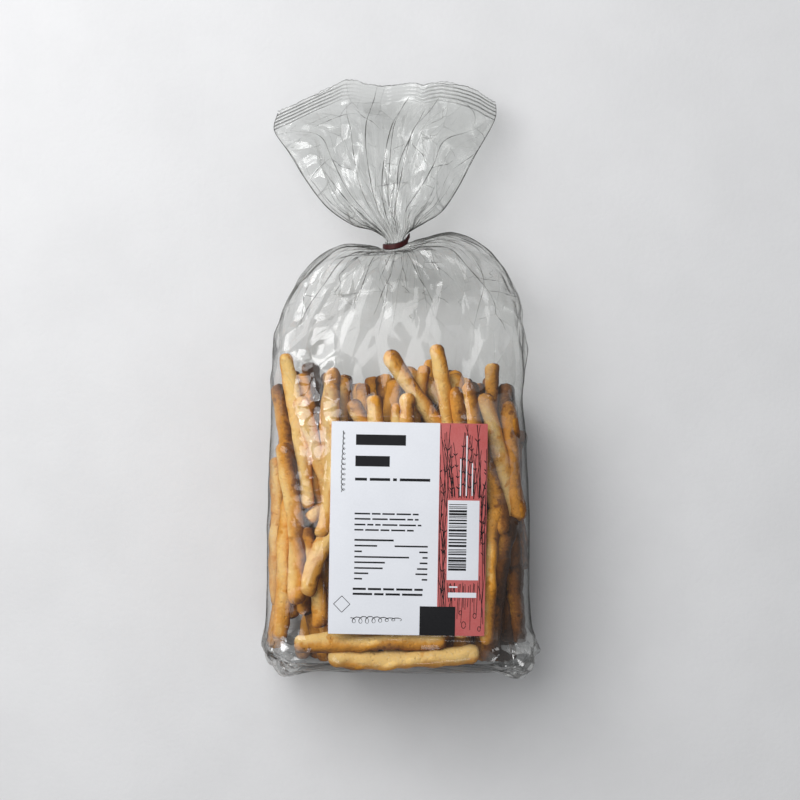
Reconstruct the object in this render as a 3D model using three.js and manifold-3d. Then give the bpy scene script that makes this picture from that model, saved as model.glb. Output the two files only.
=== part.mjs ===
// A clear block-bottom bag of mini breadsticks, tied at the neck, lying on its back with the label up.
// Millimetres. +X runs across the label, +Y from the base of the bag to its sealed mouth, +Z up out of
// the label. The origin is under the middle of the whole bag, on the surface that it lies on.

import * as THREE from "three";
import { mergeVertices } from "three/addons/utils/BufferGeometryUtils.js";
import Module from "manifold-3d";

// Driving dimensions

const STICK = { diameter: 8.2, length: 76, sides: 8, proud: 1.6 };

const LABEL = {
  width: 74.2,
  height: 100.8,
  thick: 0.4,
  gap: 0.3,
  middle: [4.4, -72.5],
  turn: THREE.MathUtils.degToRad(-1),
  clearance: 0.8,
};

const TIE = { middle: [-1.6, 67, 28], inner: 5.7, outer: 6.7, width: 2.8, lean: 0.16 };

// Each ring of the film, from the base to the mouth: y at its left and right ends, x of those ends, z of
// its underside and top, how square its section is, the depth of its pleats as a share of its radius, how
// far its middle arches towards the mouth, how far it waves up and down, and the number of rows up to it.
const RING_FIELDS = "yLeft yRight left right under top square pleat arch wave rows".split(" ");
const BODY_RINGS = [
  [-142.0, -142.6, -30, 32, 16, 42, 3, 0, 0, 0, 1],
  [-143.4, -144.6, -52, 55.5, 5, 51, 4.4, 0, 0, 0, 1],
  [-141.6, -143.2, -57, 60.5, 0.5, 55.5, 4.6, 0, 0, 0, 1],
  [-130.5, -132.0, -65.3, 65.6, -1.6, 60, 4.2, 0, 0, 0, 2],
  [-110, -112, -64.8, 64.2, -1.8, 62.5, 3.8, 0, 0, 0, 1],
  [-60, -60, -64, 63.4, -1.8, 63.5, 3.6, 0, 0, 0, 2],
  [-31, -31, -62.9, 62, -1.7, 62, 3.4, 0, 0, 0, 1],
  [-12, -12, -62.4, 61, -1.6, 60, 3.3, 0, 0, 0, 1],
  [8, 8, -62, 62, -1.5, 57, 3.1, 0, 0, 0, 1],
  [20, 24, -60, 61.2, -1, 54, 2.9, 0.01, 0, 0, 1],
  [38.8, 40, -53.6, 58.8, 2, 50, 2.6, 0.03, 0, 0, 2],
  [50.8, 53, -45.6, 51.6, 6, 46, 2.4, 0.05, 0, 0, 2],
  [60, 63.6, -35.6, 41, 11, 42, 2.2, 0.08, 0, 0, 2],
  [63.2, 67.8, -24, 26, 17, 37, 2, 0.12, 0, 0, 2],
  [62.8, 66.2, -13.5, 12, 20.5, 35, 2, 0.16, 0, 0, 2],
];
const NECK_RINGS = [
  [63.6, 65.2, -6.9, 3.7, 22.8, 33.2, 2, 0, 0, 0, 1],
  [68.8, 70.4, -6.9, 3.7, 22.8, 33.2, 2, 0, 0, 0, 1],
];
const FAN_RINGS = [
  [71.0, 72.4, -13, 8.6, 20.5, 35.0, 2, 0.16, 1.2, 0, 1],
  [73.6, 74.6, -22.5, 12.4, 18.5, 35, 2, 0.2, 6, 0.4, 2],
  [82.4, 80.4, -35, 21, 14.5, 33, 2, 0.2, 11, 1, 2],
  [96, 93, -45.4, 29.4, 10.5, 28, 2, 0.16, 14.5, 1.8, 2],
  [109.8, 108, -53.8, 37.2, 9, 22, 2, 0.1, 15, 2.6, 2],
  [120.4, 125.4, -61, 46.8, 12.4, 14.4, 6, 0, 13.4, 3.2, 2],
  [128.8, 134.2, -59.2, 47.4, 12.4, 14.4, 6, 0, 13.5, 3.2, 2],
];
const COLUMNS = 72;
const PLEATS = 12;
const ARCH_POWER = 2.6;
const WAVES_ACROSS = 1.4;

// The sticks that show against the film: x and y of the axis at the tip and at the foot, and how deep the
// tip and the foot lie below the sticks that touch the film.
const SHOWN_STICKS = [
  [-54.6, 10.5, -43.1, -62.8, 0, 0],
  [-54.9, -32.3, -47.9, -108.4, 0, 0],
  [-31.3, -3.8, -36.1, -76.1, 0, 0],
  [-47.4, -10.4, -35.1, -49.4, 0.8, 6],
  [-20.6, -50.2, -44.6, -103.7, 0.6, 0],
  [-17.2, -3.8, -18.6, -76.7, 1.4, 3],
  [-22.7, -11.9, 13.6, -70.1, 0.4, 4],
  [-11.3, -9.5, -6.9, -83.6, 0.3, 1],
  [3.8, -8.6, 4.9, -78.7, 0.2, 1],
  [-5.6, 11.4, 37.9, -44.2, 0, 5],
  [18.1, 14.8, 27.9, -66.9, 0, 0],
  [26.8, -5.7, 41.9, -76.7, 1, 4],
  [33.0, -3.4, 50.5, -75.1, 0, 0],
  [44.8, 5.8, 47.1, -66.9, 0.6, 5],
  [41.0, -8.6, 52.5, -80.6, 0.4, 5],
  [52.4, -12.4, 57.3, -68.9, 0, 1],
  [45.6, -63.0, 41.7, -127.7, 1, 1],
  [53.3, -67.5, 42.9, -136.3, 0, 0],
  [-49.3, -128.4, 21.6, -126.0, 0.5, 0.5],
  [-33.2, -135.1, 37.7, -132.5, 0, 0],
  [-39.8, -105.5, 9.8, -119.8, 1.2, 1],
];
const WALL_STICKS = { levels: [13, 23.5, 34, 44], rows: 2, first: -6, step: -62, spread: 12 };

// Helpers

const wasm = await Module();
wasm.setup();

// A seeded random number generator, so that every build is the same.
function seeded(seed) {
  let state = seed;
  return () => {
    state = (Math.imul(state, 1664525) + 1013904223) >>> 0;
    return state / 4294967296;
  };
}

function toManifold(geometry) {
  const bare = geometry.clone();
  bare.deleteAttribute("normal");
  bare.deleteAttribute("uv");
  const merged = mergeVertices(bare, 1e-4);
  const mesh = new wasm.Mesh({
    numProp: 3,
    vertProperties: merged.getAttribute("position").array,
    triVerts: new Uint32Array(merged.index.array),
  });
  return new wasm.Manifold(mesh);
}

function toGeometry(solid) {
  const mesh = solid.getMesh();
  const geometry = new THREE.BufferGeometry();
  geometry.setAttribute("position", new THREE.BufferAttribute(mesh.vertProperties, 3));
  geometry.setIndex(new THREE.BufferAttribute(mesh.triVerts, 1));
  geometry.computeVertexNormals();
  return geometry;
}

function named(name, geometry, color, roughness, metalness = 0) {
  const mesh = new THREE.Mesh(geometry, new THREE.MeshStandardMaterial({ color, roughness, metalness }));
  mesh.name = name;
  return mesh;
}

// A closed surface through equal closed loops of points, ended by a point at each end or by joining the
// two sides of the last loop.
function loft(loops, firstPoint) {
  const columns = loops[0].length;
  const points = [firstPoint, ...loops.flat()];
  const faces = [];
  const at = (row, column) => 1 + row * columns + (column % columns);
  for (let c = 0; c < columns; c++) faces.push(0, at(0, c), at(0, c + 1));
  for (let r = 0; r + 1 < loops.length; r++) {
    for (let c = 0; c < columns; c++) {
      faces.push(at(r, c), at(r + 1, c), at(r + 1, c + 1));
      faces.push(at(r, c), at(r + 1, c + 1), at(r, c + 1));
    }
  }
  const last = loops.length - 1;
  for (let c = 0; c < columns / 2 - 1; c++) {
    const under = (columns - c) % columns;
    faces.push(at(last, under), at(last, c + 1), at(last, c));
    faces.push(at(last, under), at(last, columns - c - 1), at(last, c + 1));
  }
  const half = columns / 2;
  faces.push(at(last, half + 1), at(last, half), at(last, half - 1));
  const geometry = new THREE.BufferGeometry();
  geometry.setAttribute("position", new THREE.Float32BufferAttribute(points.flat(), 3));
  geometry.setIndex(faces);
  return geometry;
}

// The film's shape

// A smooth value between four neighbours of a ring table, by a Catmull-Rom curve.
function between(a, b, c, d, t) {
  const bend = (c - a) / 2;
  const next = (d - b) / 2;
  const t2 = t * t;
  const t3 = t2 * t;
  return b * (2 * t3 - 3 * t2 + 1) + bend * (t3 - 2 * t2 + t) + c * (3 * t2 - 2 * t3) + next * (t3 - t2);
}

// The rings of a table with the rows in between filled in.
function smoothRings(table) {
  const rings = [Object.fromEntries(RING_FIELDS.map((field, i) => [field, table[0][i]]))];
  for (let k = 1; k < table.length; k++) {
    const rows = table[k][RING_FIELDS.indexOf("rows")];
    for (let step = 1; step <= rows; step++) {
      const near = [k - 2, k - 1, k, k + 1].map((n) => table[THREE.MathUtils.clamp(n, 0, table.length - 1)]);
      const value = (i) => between(...near.map((row) => row[i]), step / rows);
      rings.push(Object.fromEntries(RING_FIELDS.map((field, i) => [field, value(i)])));
    }
  }
  return rings;
}

// One point of a ring: a superellipse with its pleats, bent along Y by the ring's slope and arch.
function ringPoint(ring, turn) {
  const wide = (ring.right - ring.left) / 2;
  const deep = (ring.top - ring.under) / 2;
  const across = Math.cos(turn);
  const up = Math.sin(turn);
  const reach = (Math.abs(across) ** ring.square + Math.abs(up) ** ring.square) ** (-1 / ring.square);
  const pleat = ring.pleat * Math.cos(PLEATS * turn);
  const flat = Math.min(1, deep / wide);
  const x = (ring.left + ring.right) / 2 + wide * across * reach * (1 + pleat * flat ** 2);
  const share = THREE.MathUtils.clamp((x - ring.left) / (ring.right - ring.left), 0, 1);
  const arch = ring.arch * (1 - Math.abs(2 * share - 1) ** ARCH_POWER);
  const y = ring.yLeft + (ring.yRight - ring.yLeft) * share + arch;
  const sway = ring.wave * Math.sin(2 * Math.PI * WAVES_ACROSS * share);
  const z = (ring.top + ring.under) / 2 + sway + deep * up * reach * (1 + pleat);
  return [x, y, Math.max(z, 0)];
}

function ringLoop(ring) {
  return Array.from({ length: COLUMNS }, (_, c) => ringPoint(ring, (2 * Math.PI * c) / COLUMNS));
}

const bodyRings = smoothRings(BODY_RINGS);

// The body ring at a place along the bag, for anything that lies on or in the body.
function ringAt(y) {
  const middle = (ring) => (ring.yLeft + ring.yRight) / 2;
  const first = bodyRings.findIndex((ring) => ring.square >= BODY_RINGS[2][6] - 1e-9);
  let k = first;
  while (k + 2 < bodyRings.length && middle(bodyRings[k + 1]) < y) k++;
  const [a, b] = [bodyRings[k], bodyRings[k + 1]];
  const t = THREE.MathUtils.clamp((y - middle(a)) / (middle(b) - middle(a)), 0, 1);
  return Object.fromEntries(RING_FIELDS.map((field) => [field, a[field] + (b[field] - a[field]) * t]));
}

// Height of the film's upper side over a point of the XY plane.
function topHeight(x, y) {
  const ring = ringAt(y);
  const wide = (ring.right - ring.left) / 2;
  const off = Math.min(Math.abs(x - (ring.left + ring.right) / 2) / wide, 0.995);
  const deep = (ring.top - ring.under) / 2;
  return (ring.top + ring.under) / 2 + deep * (1 - off ** ring.square) ** (1 / ring.square);
}

function filmBag() {
  const rings = [...bodyRings, ...smoothRings(NECK_RINGS), ...smoothRings(FAN_RINGS)];
  const base = bodyRings[0];
  const dimple = 0.6;
  const ends = [[base.left, base.right], [base.yLeft, base.yRight], [base.top, base.under]];
  const middle = ends.map(([low, high]) => (low + high) / 2);
  middle[1] += dimple;
  return toManifold(loft(rings.map(ringLoop), middle));
}

// The sticks under the film

// A round-ended stick between two points, a little thicker in the middle.
function stick(from, to, diameter) {
  const start = new THREE.Vector3(...from);
  const along = new THREE.Vector3(...to).sub(start);
  const long = along.length();
  const r = diameter / 2;
  const profile = [
    [0, 0],
    [0.66 * r, 0.16 * r],
    [0.95 * r, 0.75 * r],
    [r, long / 2],
    [0.95 * r, long - 0.75 * r],
    [0.66 * r, long - 0.16 * r],
    [0, long],
  ].map(([x, y]) => new THREE.Vector2(x, y));
  const geometry = new THREE.LatheGeometry(profile, STICK.sides);
  const turn = new THREE.Quaternion().setFromUnitVectors(new THREE.Vector3(0, 1, 0), along.normalize());
  geometry.applyQuaternion(turn).translate(...start.toArray());
  return toManifold(geometry);
}

// The height at which a stick's axis touches the film from inside, standing out of it a little.
function axisHeight(x, y) {
  const reach = STICK.diameter / 2 - STICK.proud;
  const steps = [-1, -0.9, -0.75, -0.5, -0.25, 0, 0.25, 0.5, 0.75, 0.9, 1];
  return Math.min(...steps.map((t) => topHeight(x + t * reach, y) - reach * Math.sqrt(1 - t * t)));
}

// The sticks of the upper side, each close under the film along its length.
function shownSticks() {
  return SHOWN_STICKS.map(([tipX, tipY, footX, footY, tipDepth, footDepth]) => {
    const tip = [tipX, tipY, axisHeight(tipX, tipY) - tipDepth];
    const foot = [footX, footY, axisHeight(footX, footY) - footDepth];
    const sag = [0.25, 0.5, 0.75].map((t) => {
      const [x, y, z] = tip.map((value, i) => value + (foot[i] - value) * t);
      return axisHeight(x, y) - tipDepth - (footDepth - tipDepth) * t - z;
    });
    const lift = 0.6 * Math.max(0, ...sag);
    tip[2] += lift;
    foot[2] += lift;
    return stick(foot, tip, STICK.diameter);
  });
}

// The sticks that show through the left and right sides, in rows on levels above each other.
function wallSticks() {
  const random = seeded(7);
  const made = [];
  for (const side of ["left", "right"]) {
    for (const z of WALL_STICKS.levels) {
      for (let row = 0; row < WALL_STICKS.rows; row++) {
        const y = WALL_STICKS.first + row * WALL_STICKS.step - random() * WALL_STICKS.spread;
        const ends = [y, Math.max(y - STICK.length * (0.76 + 0.1 * random()), -130)];
        const slant = (random() - 0.5) * 6;
        const lift = (random() - 0.5) * 4;
        const points = ends.map((at, end) => {
          const ring = ringAt(at);
          const height = z + lift + (end ? slant : -slant);
          const deep = (ring.top - ring.under) / 2;
          const off = Math.abs(height - (ring.top + ring.under) / 2) / deep;
          const reach = (1 - off ** ring.square) ** (1 / ring.square);
          const wide = ((ring.right - ring.left) / 2) * reach - STICK.diameter / 2 + STICK.proud;
          const middle = (ring.left + ring.right) / 2;
          return [side === "left" ? middle - wide : middle + wide, at, height];
        });
        made.push(stick(points[0], points[1], STICK.diameter));
      }
    }
  }
  return made;
}

// The label and the tie

// A slab over the label's outline that follows the film, between two heights above it.
function labelSlab(grow, low, high, columns, rows) {
  const place = (u, v) => {
    const x = (u - 0.5) * (LABEL.width + 2 * grow);
    const y = (v - 0.5) * (LABEL.height + 2 * grow);
    return [
      LABEL.middle[0] + x * Math.cos(LABEL.turn) - y * Math.sin(LABEL.turn),
      LABEL.middle[1] + x * Math.sin(LABEL.turn) + y * Math.cos(LABEL.turn),
    ];
  };
  const points = [];
  for (const height of [low, high]) {
    for (let r = 0; r <= rows; r++) {
      for (let c = 0; c <= columns; c++) {
        const [x, y] = place(c / columns, r / rows);
        points.push(x, y, topHeight(x, y) + height);
      }
    }
  }
  const at = (layer, r, c) => layer * (rows + 1) * (columns + 1) + r * (columns + 1) + c;
  const faces = [];
  const quad = (a, b, c, d) => faces.push(a, b, c, a, c, d);
  for (let r = 0; r < rows; r++) {
    for (let c = 0; c < columns; c++) {
      quad(at(1, r, c), at(1, r, c + 1), at(1, r + 1, c + 1), at(1, r + 1, c));
      quad(at(0, r, c), at(0, r + 1, c), at(0, r + 1, c + 1), at(0, r, c + 1));
    }
    quad(at(0, r, 0), at(1, r, 0), at(1, r + 1, 0), at(0, r + 1, 0));
    quad(at(0, r, columns), at(0, r + 1, columns), at(1, r + 1, columns), at(1, r, columns));
  }
  for (let c = 0; c < columns; c++) {
    quad(at(0, 0, c), at(0, 0, c + 1), at(1, 0, c + 1), at(1, 0, c));
    quad(at(0, rows, c), at(1, rows, c), at(1, rows, c + 1), at(0, rows, c + 1));
  }
  const geometry = new THREE.BufferGeometry();
  geometry.setAttribute("position", new THREE.Float32BufferAttribute(points, 3));
  geometry.setIndex(faces);
  return geometry;
}

function tieBand() {
  const half = TIE.width / 2;
  const round = 0.3;
  const profile = [
    [TIE.inner, -half + round],
    [TIE.inner + round, -half],
    [TIE.outer - round, -half],
    [TIE.outer, -half + round],
    [TIE.outer, half - round],
    [TIE.outer - round, half],
    [TIE.inner + round, half],
    [TIE.inner, half - round],
    [TIE.inner, -half + round],
  ].map(([x, y]) => new THREE.Vector2(x, y));
  const band = named("tie", new THREE.LatheGeometry(profile, 32), 0x5a1c1c, 0.55);
  band.position.set(...TIE.middle);
  band.rotation.z = TIE.lean;
  return band;
}

// The whole bag

const sticks = wasm.Manifold.union([...shownSticks(), ...wallSticks()]);
const underLabel = toManifold(labelSlab(LABEL.clearance, 0, 12, 12, 16));
const bag = filmBag().add(sticks.subtract(underLabel));

const group = new THREE.Group();
group.add(named("bag", toGeometry(bag), 0xd9a45c, 0.35));
const label = labelSlab(0, LABEL.gap, LABEL.gap + LABEL.thick, 12, 12);
label.computeVertexNormals();
group.add(named("label", label, 0xeceef0, 0.5));
group.add(tieBand());

export default group;
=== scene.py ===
"""A clear film bag of mini breadsticks, tied at the neck, lying on its back with its label up.

The file is laid out as an add-on and run as a script. Shapes are worked out with numpy in millimetres
and put into meshes in metres. +X runs across the label, +Y from the bag's base to its mouth, +Z up.
"""

import functools
import math

import bpy
import numpy as np
from bpy.props import FloatProperty, FloatVectorProperty, IntProperty, PointerProperty
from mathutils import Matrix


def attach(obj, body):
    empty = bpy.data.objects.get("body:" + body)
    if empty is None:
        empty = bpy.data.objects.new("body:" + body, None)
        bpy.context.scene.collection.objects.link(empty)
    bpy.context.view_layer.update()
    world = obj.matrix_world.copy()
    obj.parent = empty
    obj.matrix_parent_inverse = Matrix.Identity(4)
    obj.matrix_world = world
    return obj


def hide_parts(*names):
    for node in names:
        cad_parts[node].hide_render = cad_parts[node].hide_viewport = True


bl_info = {
    "name": "Breadstick Bag",
    "version": (1, 0, 0),
    "blender": (4, 5, 0),
    "location": "View3D > Sidebar > Breadstick Bag",
    "description": "Builds a tied clear film bag of mini breadsticks, its paper label and a studio stage",
    "category": "Add Mesh",
}

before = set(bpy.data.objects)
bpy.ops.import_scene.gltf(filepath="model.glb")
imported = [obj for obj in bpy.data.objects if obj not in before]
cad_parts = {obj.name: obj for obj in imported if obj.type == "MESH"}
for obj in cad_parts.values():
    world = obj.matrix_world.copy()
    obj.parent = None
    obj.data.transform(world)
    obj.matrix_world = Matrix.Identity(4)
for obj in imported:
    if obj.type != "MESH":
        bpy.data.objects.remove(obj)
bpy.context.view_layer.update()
BODY = "root"
MM = 0.001
TURN = 2 * math.pi

# Rings of the film from base to neck, and from neck to mouth: y at the left and right ends, x of those
# ends, z of underside and top, how square the section is, pleat depth, arch towards the mouth, up-and-down
# wave.
FIELDS = "y_left y_right left right under top square pleat arch wave".split()
BODY_RINGS = np.array([
    [-140.6, -141.0, -30, 32, 16, 42, 3, 0, 0, 0],
    [-141.9, -142.6, -52, 55.5, 5, 51, 4.4, 0, 0, 0],
    [-140.4, -141.6, -57, 60.5, 0.5, 55.5, 4.6, 0, 0, 0],
    [-130.5, -132.0, -65.3, 65.6, -1.6, 60, 4.2, 0, 0, 0],
    [-110, -112, -64.8, 64.2, -1.8, 62.5, 3.8, 0, 0, 0],
    [-60, -60, -64, 63.4, -1.8, 63.5, 3.6, 0, 0, 0],
    [-31, -31, -62.9, 62, -1.7, 62, 3.4, 0, 0, 0],
    [-12, -12, -62.4, 61, -1.6, 60, 3.3, 0, 0, 0],
    [8, 8, -62, 62, -1.5, 57, 3.1, 0, 0, 0],
    [20, 24, -60, 61.2, -1, 54, 2.9, 0.0, 0, 0],
    [38.8, 40, -53.6, 58.8, 2, 50, 2.6, 0.008, 0, 0],
    [50.8, 53, -45.6, 51.6, 6, 46, 2.4, 0.03, 0, 0],
    [60, 64.6, -35.6, 41.5, 11, 42, 2.2, 0.08, -2.4, 0],
    [64.4, 71.0, -24, 27, 17, 37, 2, 0.12, -7.4, 0],
    [64.0, 67.4, -13.5, 12, 20.5, 35, 2, 0.16, -5.4, 0],
    [62.2, 64.8, -6.9, 3.7, 22.8, 33.2, 2, 0.04, -2.8, 0],
    [64.3, 66.4, -6.9, 3.7, 22.8, 33.2, 2, 0.02, -2.4, 0],
])
FAN_RINGS = np.array([
    [64.9, 67.0, -6.8, 3.6, 22.9, 33.1, 2, 0.02, -2.4, 0],
    [67.2, 69.0, -6.9, 3.7, 22.8, 33.2, 2, 0.04, -2.2, 0],
    [71.0, 72.4, -13, 8.6, 20.5, 35.0, 2, 0.16, -0.4, 0],
    [73.6, 74.6, -22.5, 12.4, 18.5, 35, 2, 0.2, 6, 0.4],
    [82.4, 80.4, -35, 21, 14.5, 33, 2, 0.2, 11, 1],
    [96, 93, -45.4, 29.4, 10.5, 28, 2, 0.16, 14.5, 1.8],
    [109.8, 108, -53.8, 37.2, 9, 22, 2, 0.1, 15, 2.6],
    [120.4, 125.4, -61, 46.8, 13.2, 13.6, 5, 0, 13.4, 3.2],
    [128.8, 134.2, -59.2, 47.4, 13.2, 13.6, 5, 0, 13.5, 3.2],
])
FIRST_FULL_RING = 2
LAST_FULL_RING = 12
PROFILE_STEPS = 1200
ARCH_POWER = 2.6
WAVES_ACROSS = 1.4
PLEATS = 12

LABEL = {"width": 74.2, "height": 100.8, "middle": (4.4, -72.5), "turn": math.radians(-1.0)}
LABEL_LIFT = 0.9
LABEL_PRESS = 0.35
LABEL_MARGIN = 9.0

NECK = np.array([-1.6, 65.4, 28.0])

# Lamps: name, place, what it points at, size, and strength against the key's.
LAMPS = (
    ("key", (-0.62, 0.55, 1.12), (0, 0, 0), 1.5, 1.0),
    ("wash", (-0.48, 0.46, 0.5), (-0.12, 0.12, 0), 0.35, 0.085),
    ("glint_back", (0.3, 0.85, 0.9), (0, 0, 0), 0.3, 0.02),
    ("glint_left", (-0.95, -0.35, 0.8), (0, 0, 0), 0.3, 0.025),
    ("glint_front", (0.1, -0.95, 0.8), (0, -0.1, 0), 0.3, 0.03),
)
TABLE_SIDE = 6.0

# How sticks settle: the clear way between two, how far hidden ones sink in a round and shown ones in all,
# how much a shown one gives way against a hidden one, the y of the base's inside, and a stick's thickest
# place against its radius.
STICK_GAP = 0.1
SINK = 0.04
MOST_SINK = 9.0
SHOWN_GIVE = 0.35
BASE_INSIDE = -139.0
UNEVEN = 1.1

# What a film point needs where no stick is near, and the most that it is pushed by one.
FAR_OFF = -9.0
NEAR = 6

# Folds of the film's upper side: x and y of both ends, height, width and bend.
SHOULDER_FOLDS = [
    (-6.4, 60.5, -50.1, 21.3, 1.5, 1.1, 7), (-7.1, 61.3, -55.4, 31.9, 1.3, 1.3, 11),
    (-5.6, 59.8, -21.5, 30.4, 1.1, 0.9, -3), (-1.1, 59.0, -12.4, 28.8, 1.1, 1.1, 6),
    (1.2, 59.0, 4.2, 40.9, 1.0, 1.0, 2), (4.2, 59.0, 17.0, 34.1, 1.3, 1.1, 4),
    (6.5, 62.0, 44.9, 36.4, 1.5, 1.2, 6), (5.7, 63.6, 35.9, 22.8, 0.9, 1.1, 8),
    (7.2, 65.8, 58.5, 39.4, 1.4, 1.4, 10), (-3.3, 59.0, -9.4, 45.4, 0.9, 0.8, 0),
    (40.4, 40.9, 60.0, 38.7, 0.8, 0.9, 1), (44.9, 36.4, 51.0, 21.3, 1.0, 0.9, 2),
    (35.9, 47.0, 49.5, 45.4, 0.7, 1.0, 0), (11.7, 54.5, 20.8, 54.5, 0.7, 0.9, 2),
    (-36.5, 39.4, -6.4, 40.9, 0.5, 0.9, -2), (-42.6, 45.4, -47.1, 22.8, 0.8, 0.9, 2),
    (-33.5, 25.8, -39.6, 18.3, 0.8, 0.8, 2), (-24.5, 53.0, -30.5, 36.4, 0.8, 1.0, 1),
    (14.8, 57.5, 26.8, 45.4, 0.8, 0.9, -2),
]
MOUTH_FOLDS = [
    (-5.6, 68.8, -26.0, 133.7, 1.1, 1.0, -2), (-4.9, 69.6, -10.1, 143.5, 1.4, 0.9, 3),
    (-3.3, 69.6, 6.5, 138.3, 2.0, 1.1, 2), (-1.8, 69.6, 1.2, 131.5, -1.4, 1.0, -2),
    (-1.1, 69.6, 12.5, 131.5, 1.5, 0.9, 3), (-0.3, 69.6, 20.8, 138.3, 1.2, 1.0, 4),
    (1.2, 68.8, 41.9, 123.9, 1.3, 1.3, -5), (-7.1, 68.8, -37.3, 101.3, 1.2, 1.2, 4),
    (-6.4, 68.8, -53.1, 120.9, 1.1, 1.4, 8), (-9.4, 69.6, -44.1, 97.5, 0.9, 1.0, 3),
    (29.1, 136.0, 35.9, 122.4, 1.0, 0.9, 2), (35.9, 122.4, 41.2, 114.9, 1.0, 0.8, 2),
    (41.2, 114.9, 26.8, 101.3, 0.8, 1.0, 0), (-42.6, 96.8, -33.5, 105.8, 1.0, 0.8, 1),
    (-33.5, 105.8, -19.9, 98.3, 0.8, 0.9, 0), (-42.6, 120.9, -19.9, 128.4, 0.7, 1.1, -3),
    (-21.5, 131.5, -9.4, 120.9, 0.7, 1.0, 2), (5.7, 114.9, 14.8, 101.3, 0.8, 0.9, 1),
    (14.8, 101.3, 26.8, 105.8, 0.8, 0.9, 0), (-10.9, 92.2, 5.7, 93.7, 0.8, 0.8, 1),
    (-24.5, 81.7, -21.5, 73.4, 0.8, 0.8, 0), (14.8, 122.4, 23.8, 133.0, 0.7, 0.9, 0),
]
# The cut edge of the mouth, x and y from left to right.
MOUTH_EDGE = np.array([
    (-61, 128.4), (-56.9, 130.3), (-50.1, 133.3), (-39.6, 138.3), (-32, 141.7), (-26.7, 144.3),
    (-21.5, 144.8), (-16.9, 143.8), (-11.6, 143.2), (-7.1, 142.4), (-1.8, 142.9), (5.7, 144), (9.5, 143.5),
    (11.7, 142.2), (14.8, 143.2), (20.8, 144), (28.3, 142.6), (34.4, 140.8), (38.9, 139), (43.4, 136.3),
    (47.6, 134.2),
])

# Sticks that show from above: x and y of the axis at tip and foot, depth of tip and foot under the sticks
# that touch the film, diameter, how brown it is from 0 to 1.
SHOWN_STICKS = np.array([
    [-54.6, 10.5, -43.1, -62.8, 0, 0, 7.2, 0.08],
    [-54.9, -32.3, -47.9, -108.4, 0, 0, 8.2, 0.38],
    [-31.3, -3.8, -36.1, -76.1, 0, 0, 8.0, 0.3],
    [-47.4, -10.4, -25.0, -81.5, 0.8, 9, 7.6, 0.3],
    [-20.6, -50.2, -44.6, -103.7, 0.6, 0, 8.4, 0.42],
    [-31.8, 3.8, -29.4, -68.8, 5, 8, 7.4, 0.6],
    [-26.9, -0.9, -25.5, -72.8, 3, 7, 6.8, 0.62],
    [-46.6, 1.0, -37.2, -67.0, 4, 10, 7.4, 0.25],
    [-17.2, -3.8, -18.6, -76.7, 3, 5, 6.8, 0.95],
    [-22.7, -11.9, 13.6, -70.1, 0.4, 4, 7.8, 0.5],
    [-11.3, -9.5, -6.9, -83.6, 0.3, 1, 7.6, 0.5],
    [3.8, -8.6, 4.9, -78.7, 0.2, 1, 7.8, 0.42],
    [-1.4, -13.2, 0.2, -60.0, 1.5, 4, 5.6, 0.3],
    [-1.8, -2.2, -8.0, -74.0, 5, 9, 8.0, 0.85],
    [-5.6, 11.4, 37.9, -44.2, 0, 5, 7.8, 0.38],
    [18.1, 14.8, 27.9, -66.9, 0, 0, 7.0, 0.42],
    [12.0, 4.8, 4.0, -66.9, 5, 9, 6.6, 0.6],
    [3.0, 2.9, 47.0, -29.7, 4.5, 10, 7.6, 0.2],
    [26.3, 0.9, 33.3, -68.8, 4, 8, 8.2, 0.4],
    [30.4, -0.9, 27.5, -68.8, 5.5, 9, 7.4, 0.4],
    [26.8, -5.7, 41.9, -76.7, 1.4, 4, 7.8, 0.66],
    [33.0, -3.4, 50.5, -75.1, 0, 0, 8.4, 0.28],
    [39.1, -3.8, 35.3, -70.7, 5, 9, 7.4, 0.4],
    [44.8, 5.8, 47.1, -66.9, 1.5, 6, 6.8, 0.3],
    [41.0, -8.6, 52.5, -80.6, 0.6, 5, 7.8, 0.2],
    [52.4, -12.4, 57.3, -68.9, 0, 1, 7.8, 0.45],
    [52.9, -4.7, 55.9, -76.7, 4, 8, 7.2, 0.9],
    [45.6, -63.0, 41.7, -127.7, 1, 1, 7.4, 0.2],
    [53.3, -67.5, 42.9, -136.3, 0, 0, 8.8, 0.45],
    [58.2, -26.7, 59.3, -93.4, 9, 9, 7.6, 0.9],
    [54.0, -61.0, 58.2, -127.7, 7, 5, 7.6, 0.85],
    [-49.3, -128.4, 21.6, -126.0, 0.5, 0.5, 8.4, 0.14],
    [-33.2, -135.1, 37.7, -132.5, 0, 0, 8.8, 0.1],
    [-51.0, -86.5, -17.6, -131.0, 5, 8, 8.2, 0.4],
    [-35.5, -80.0, -34.0, -131.0, 9, 9, 8.2, 0.6],
    [-51.4, -115.6, -48.0, -68.0, 5, 46, 7.0, 0.6],
    [-45.3, -113.6, -39.0, -66.0, 4.5, 44, 7.8, 0.6],
    [-44.5, -72.8, -37.2, -119.8, 3, 8, 8.0, 0.6],
    [-58.6, -39.4, -59.0, -110.0, 9, 8, 7.4, 0.55],
    [-51.8, -57.0, -57.0, -125.6, 9, 4, 7.6, 0.62],
    [-43.2, -67.9, -4.0, -48.0, 3.5, 38, 6.8, 0.25],
    [-44.8, -78.4, -8.0, -66.0, 5.5, 40, 6.0, 0.55],
    [29.1, -59.0, 29.9, -124.6, 3, 3, 7.4, 0.6],
    [51.0, -57.0, 53.4, -127.5, 8, 4, 7.4, 0.85],
])


# Meshes, pieces and materials


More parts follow.
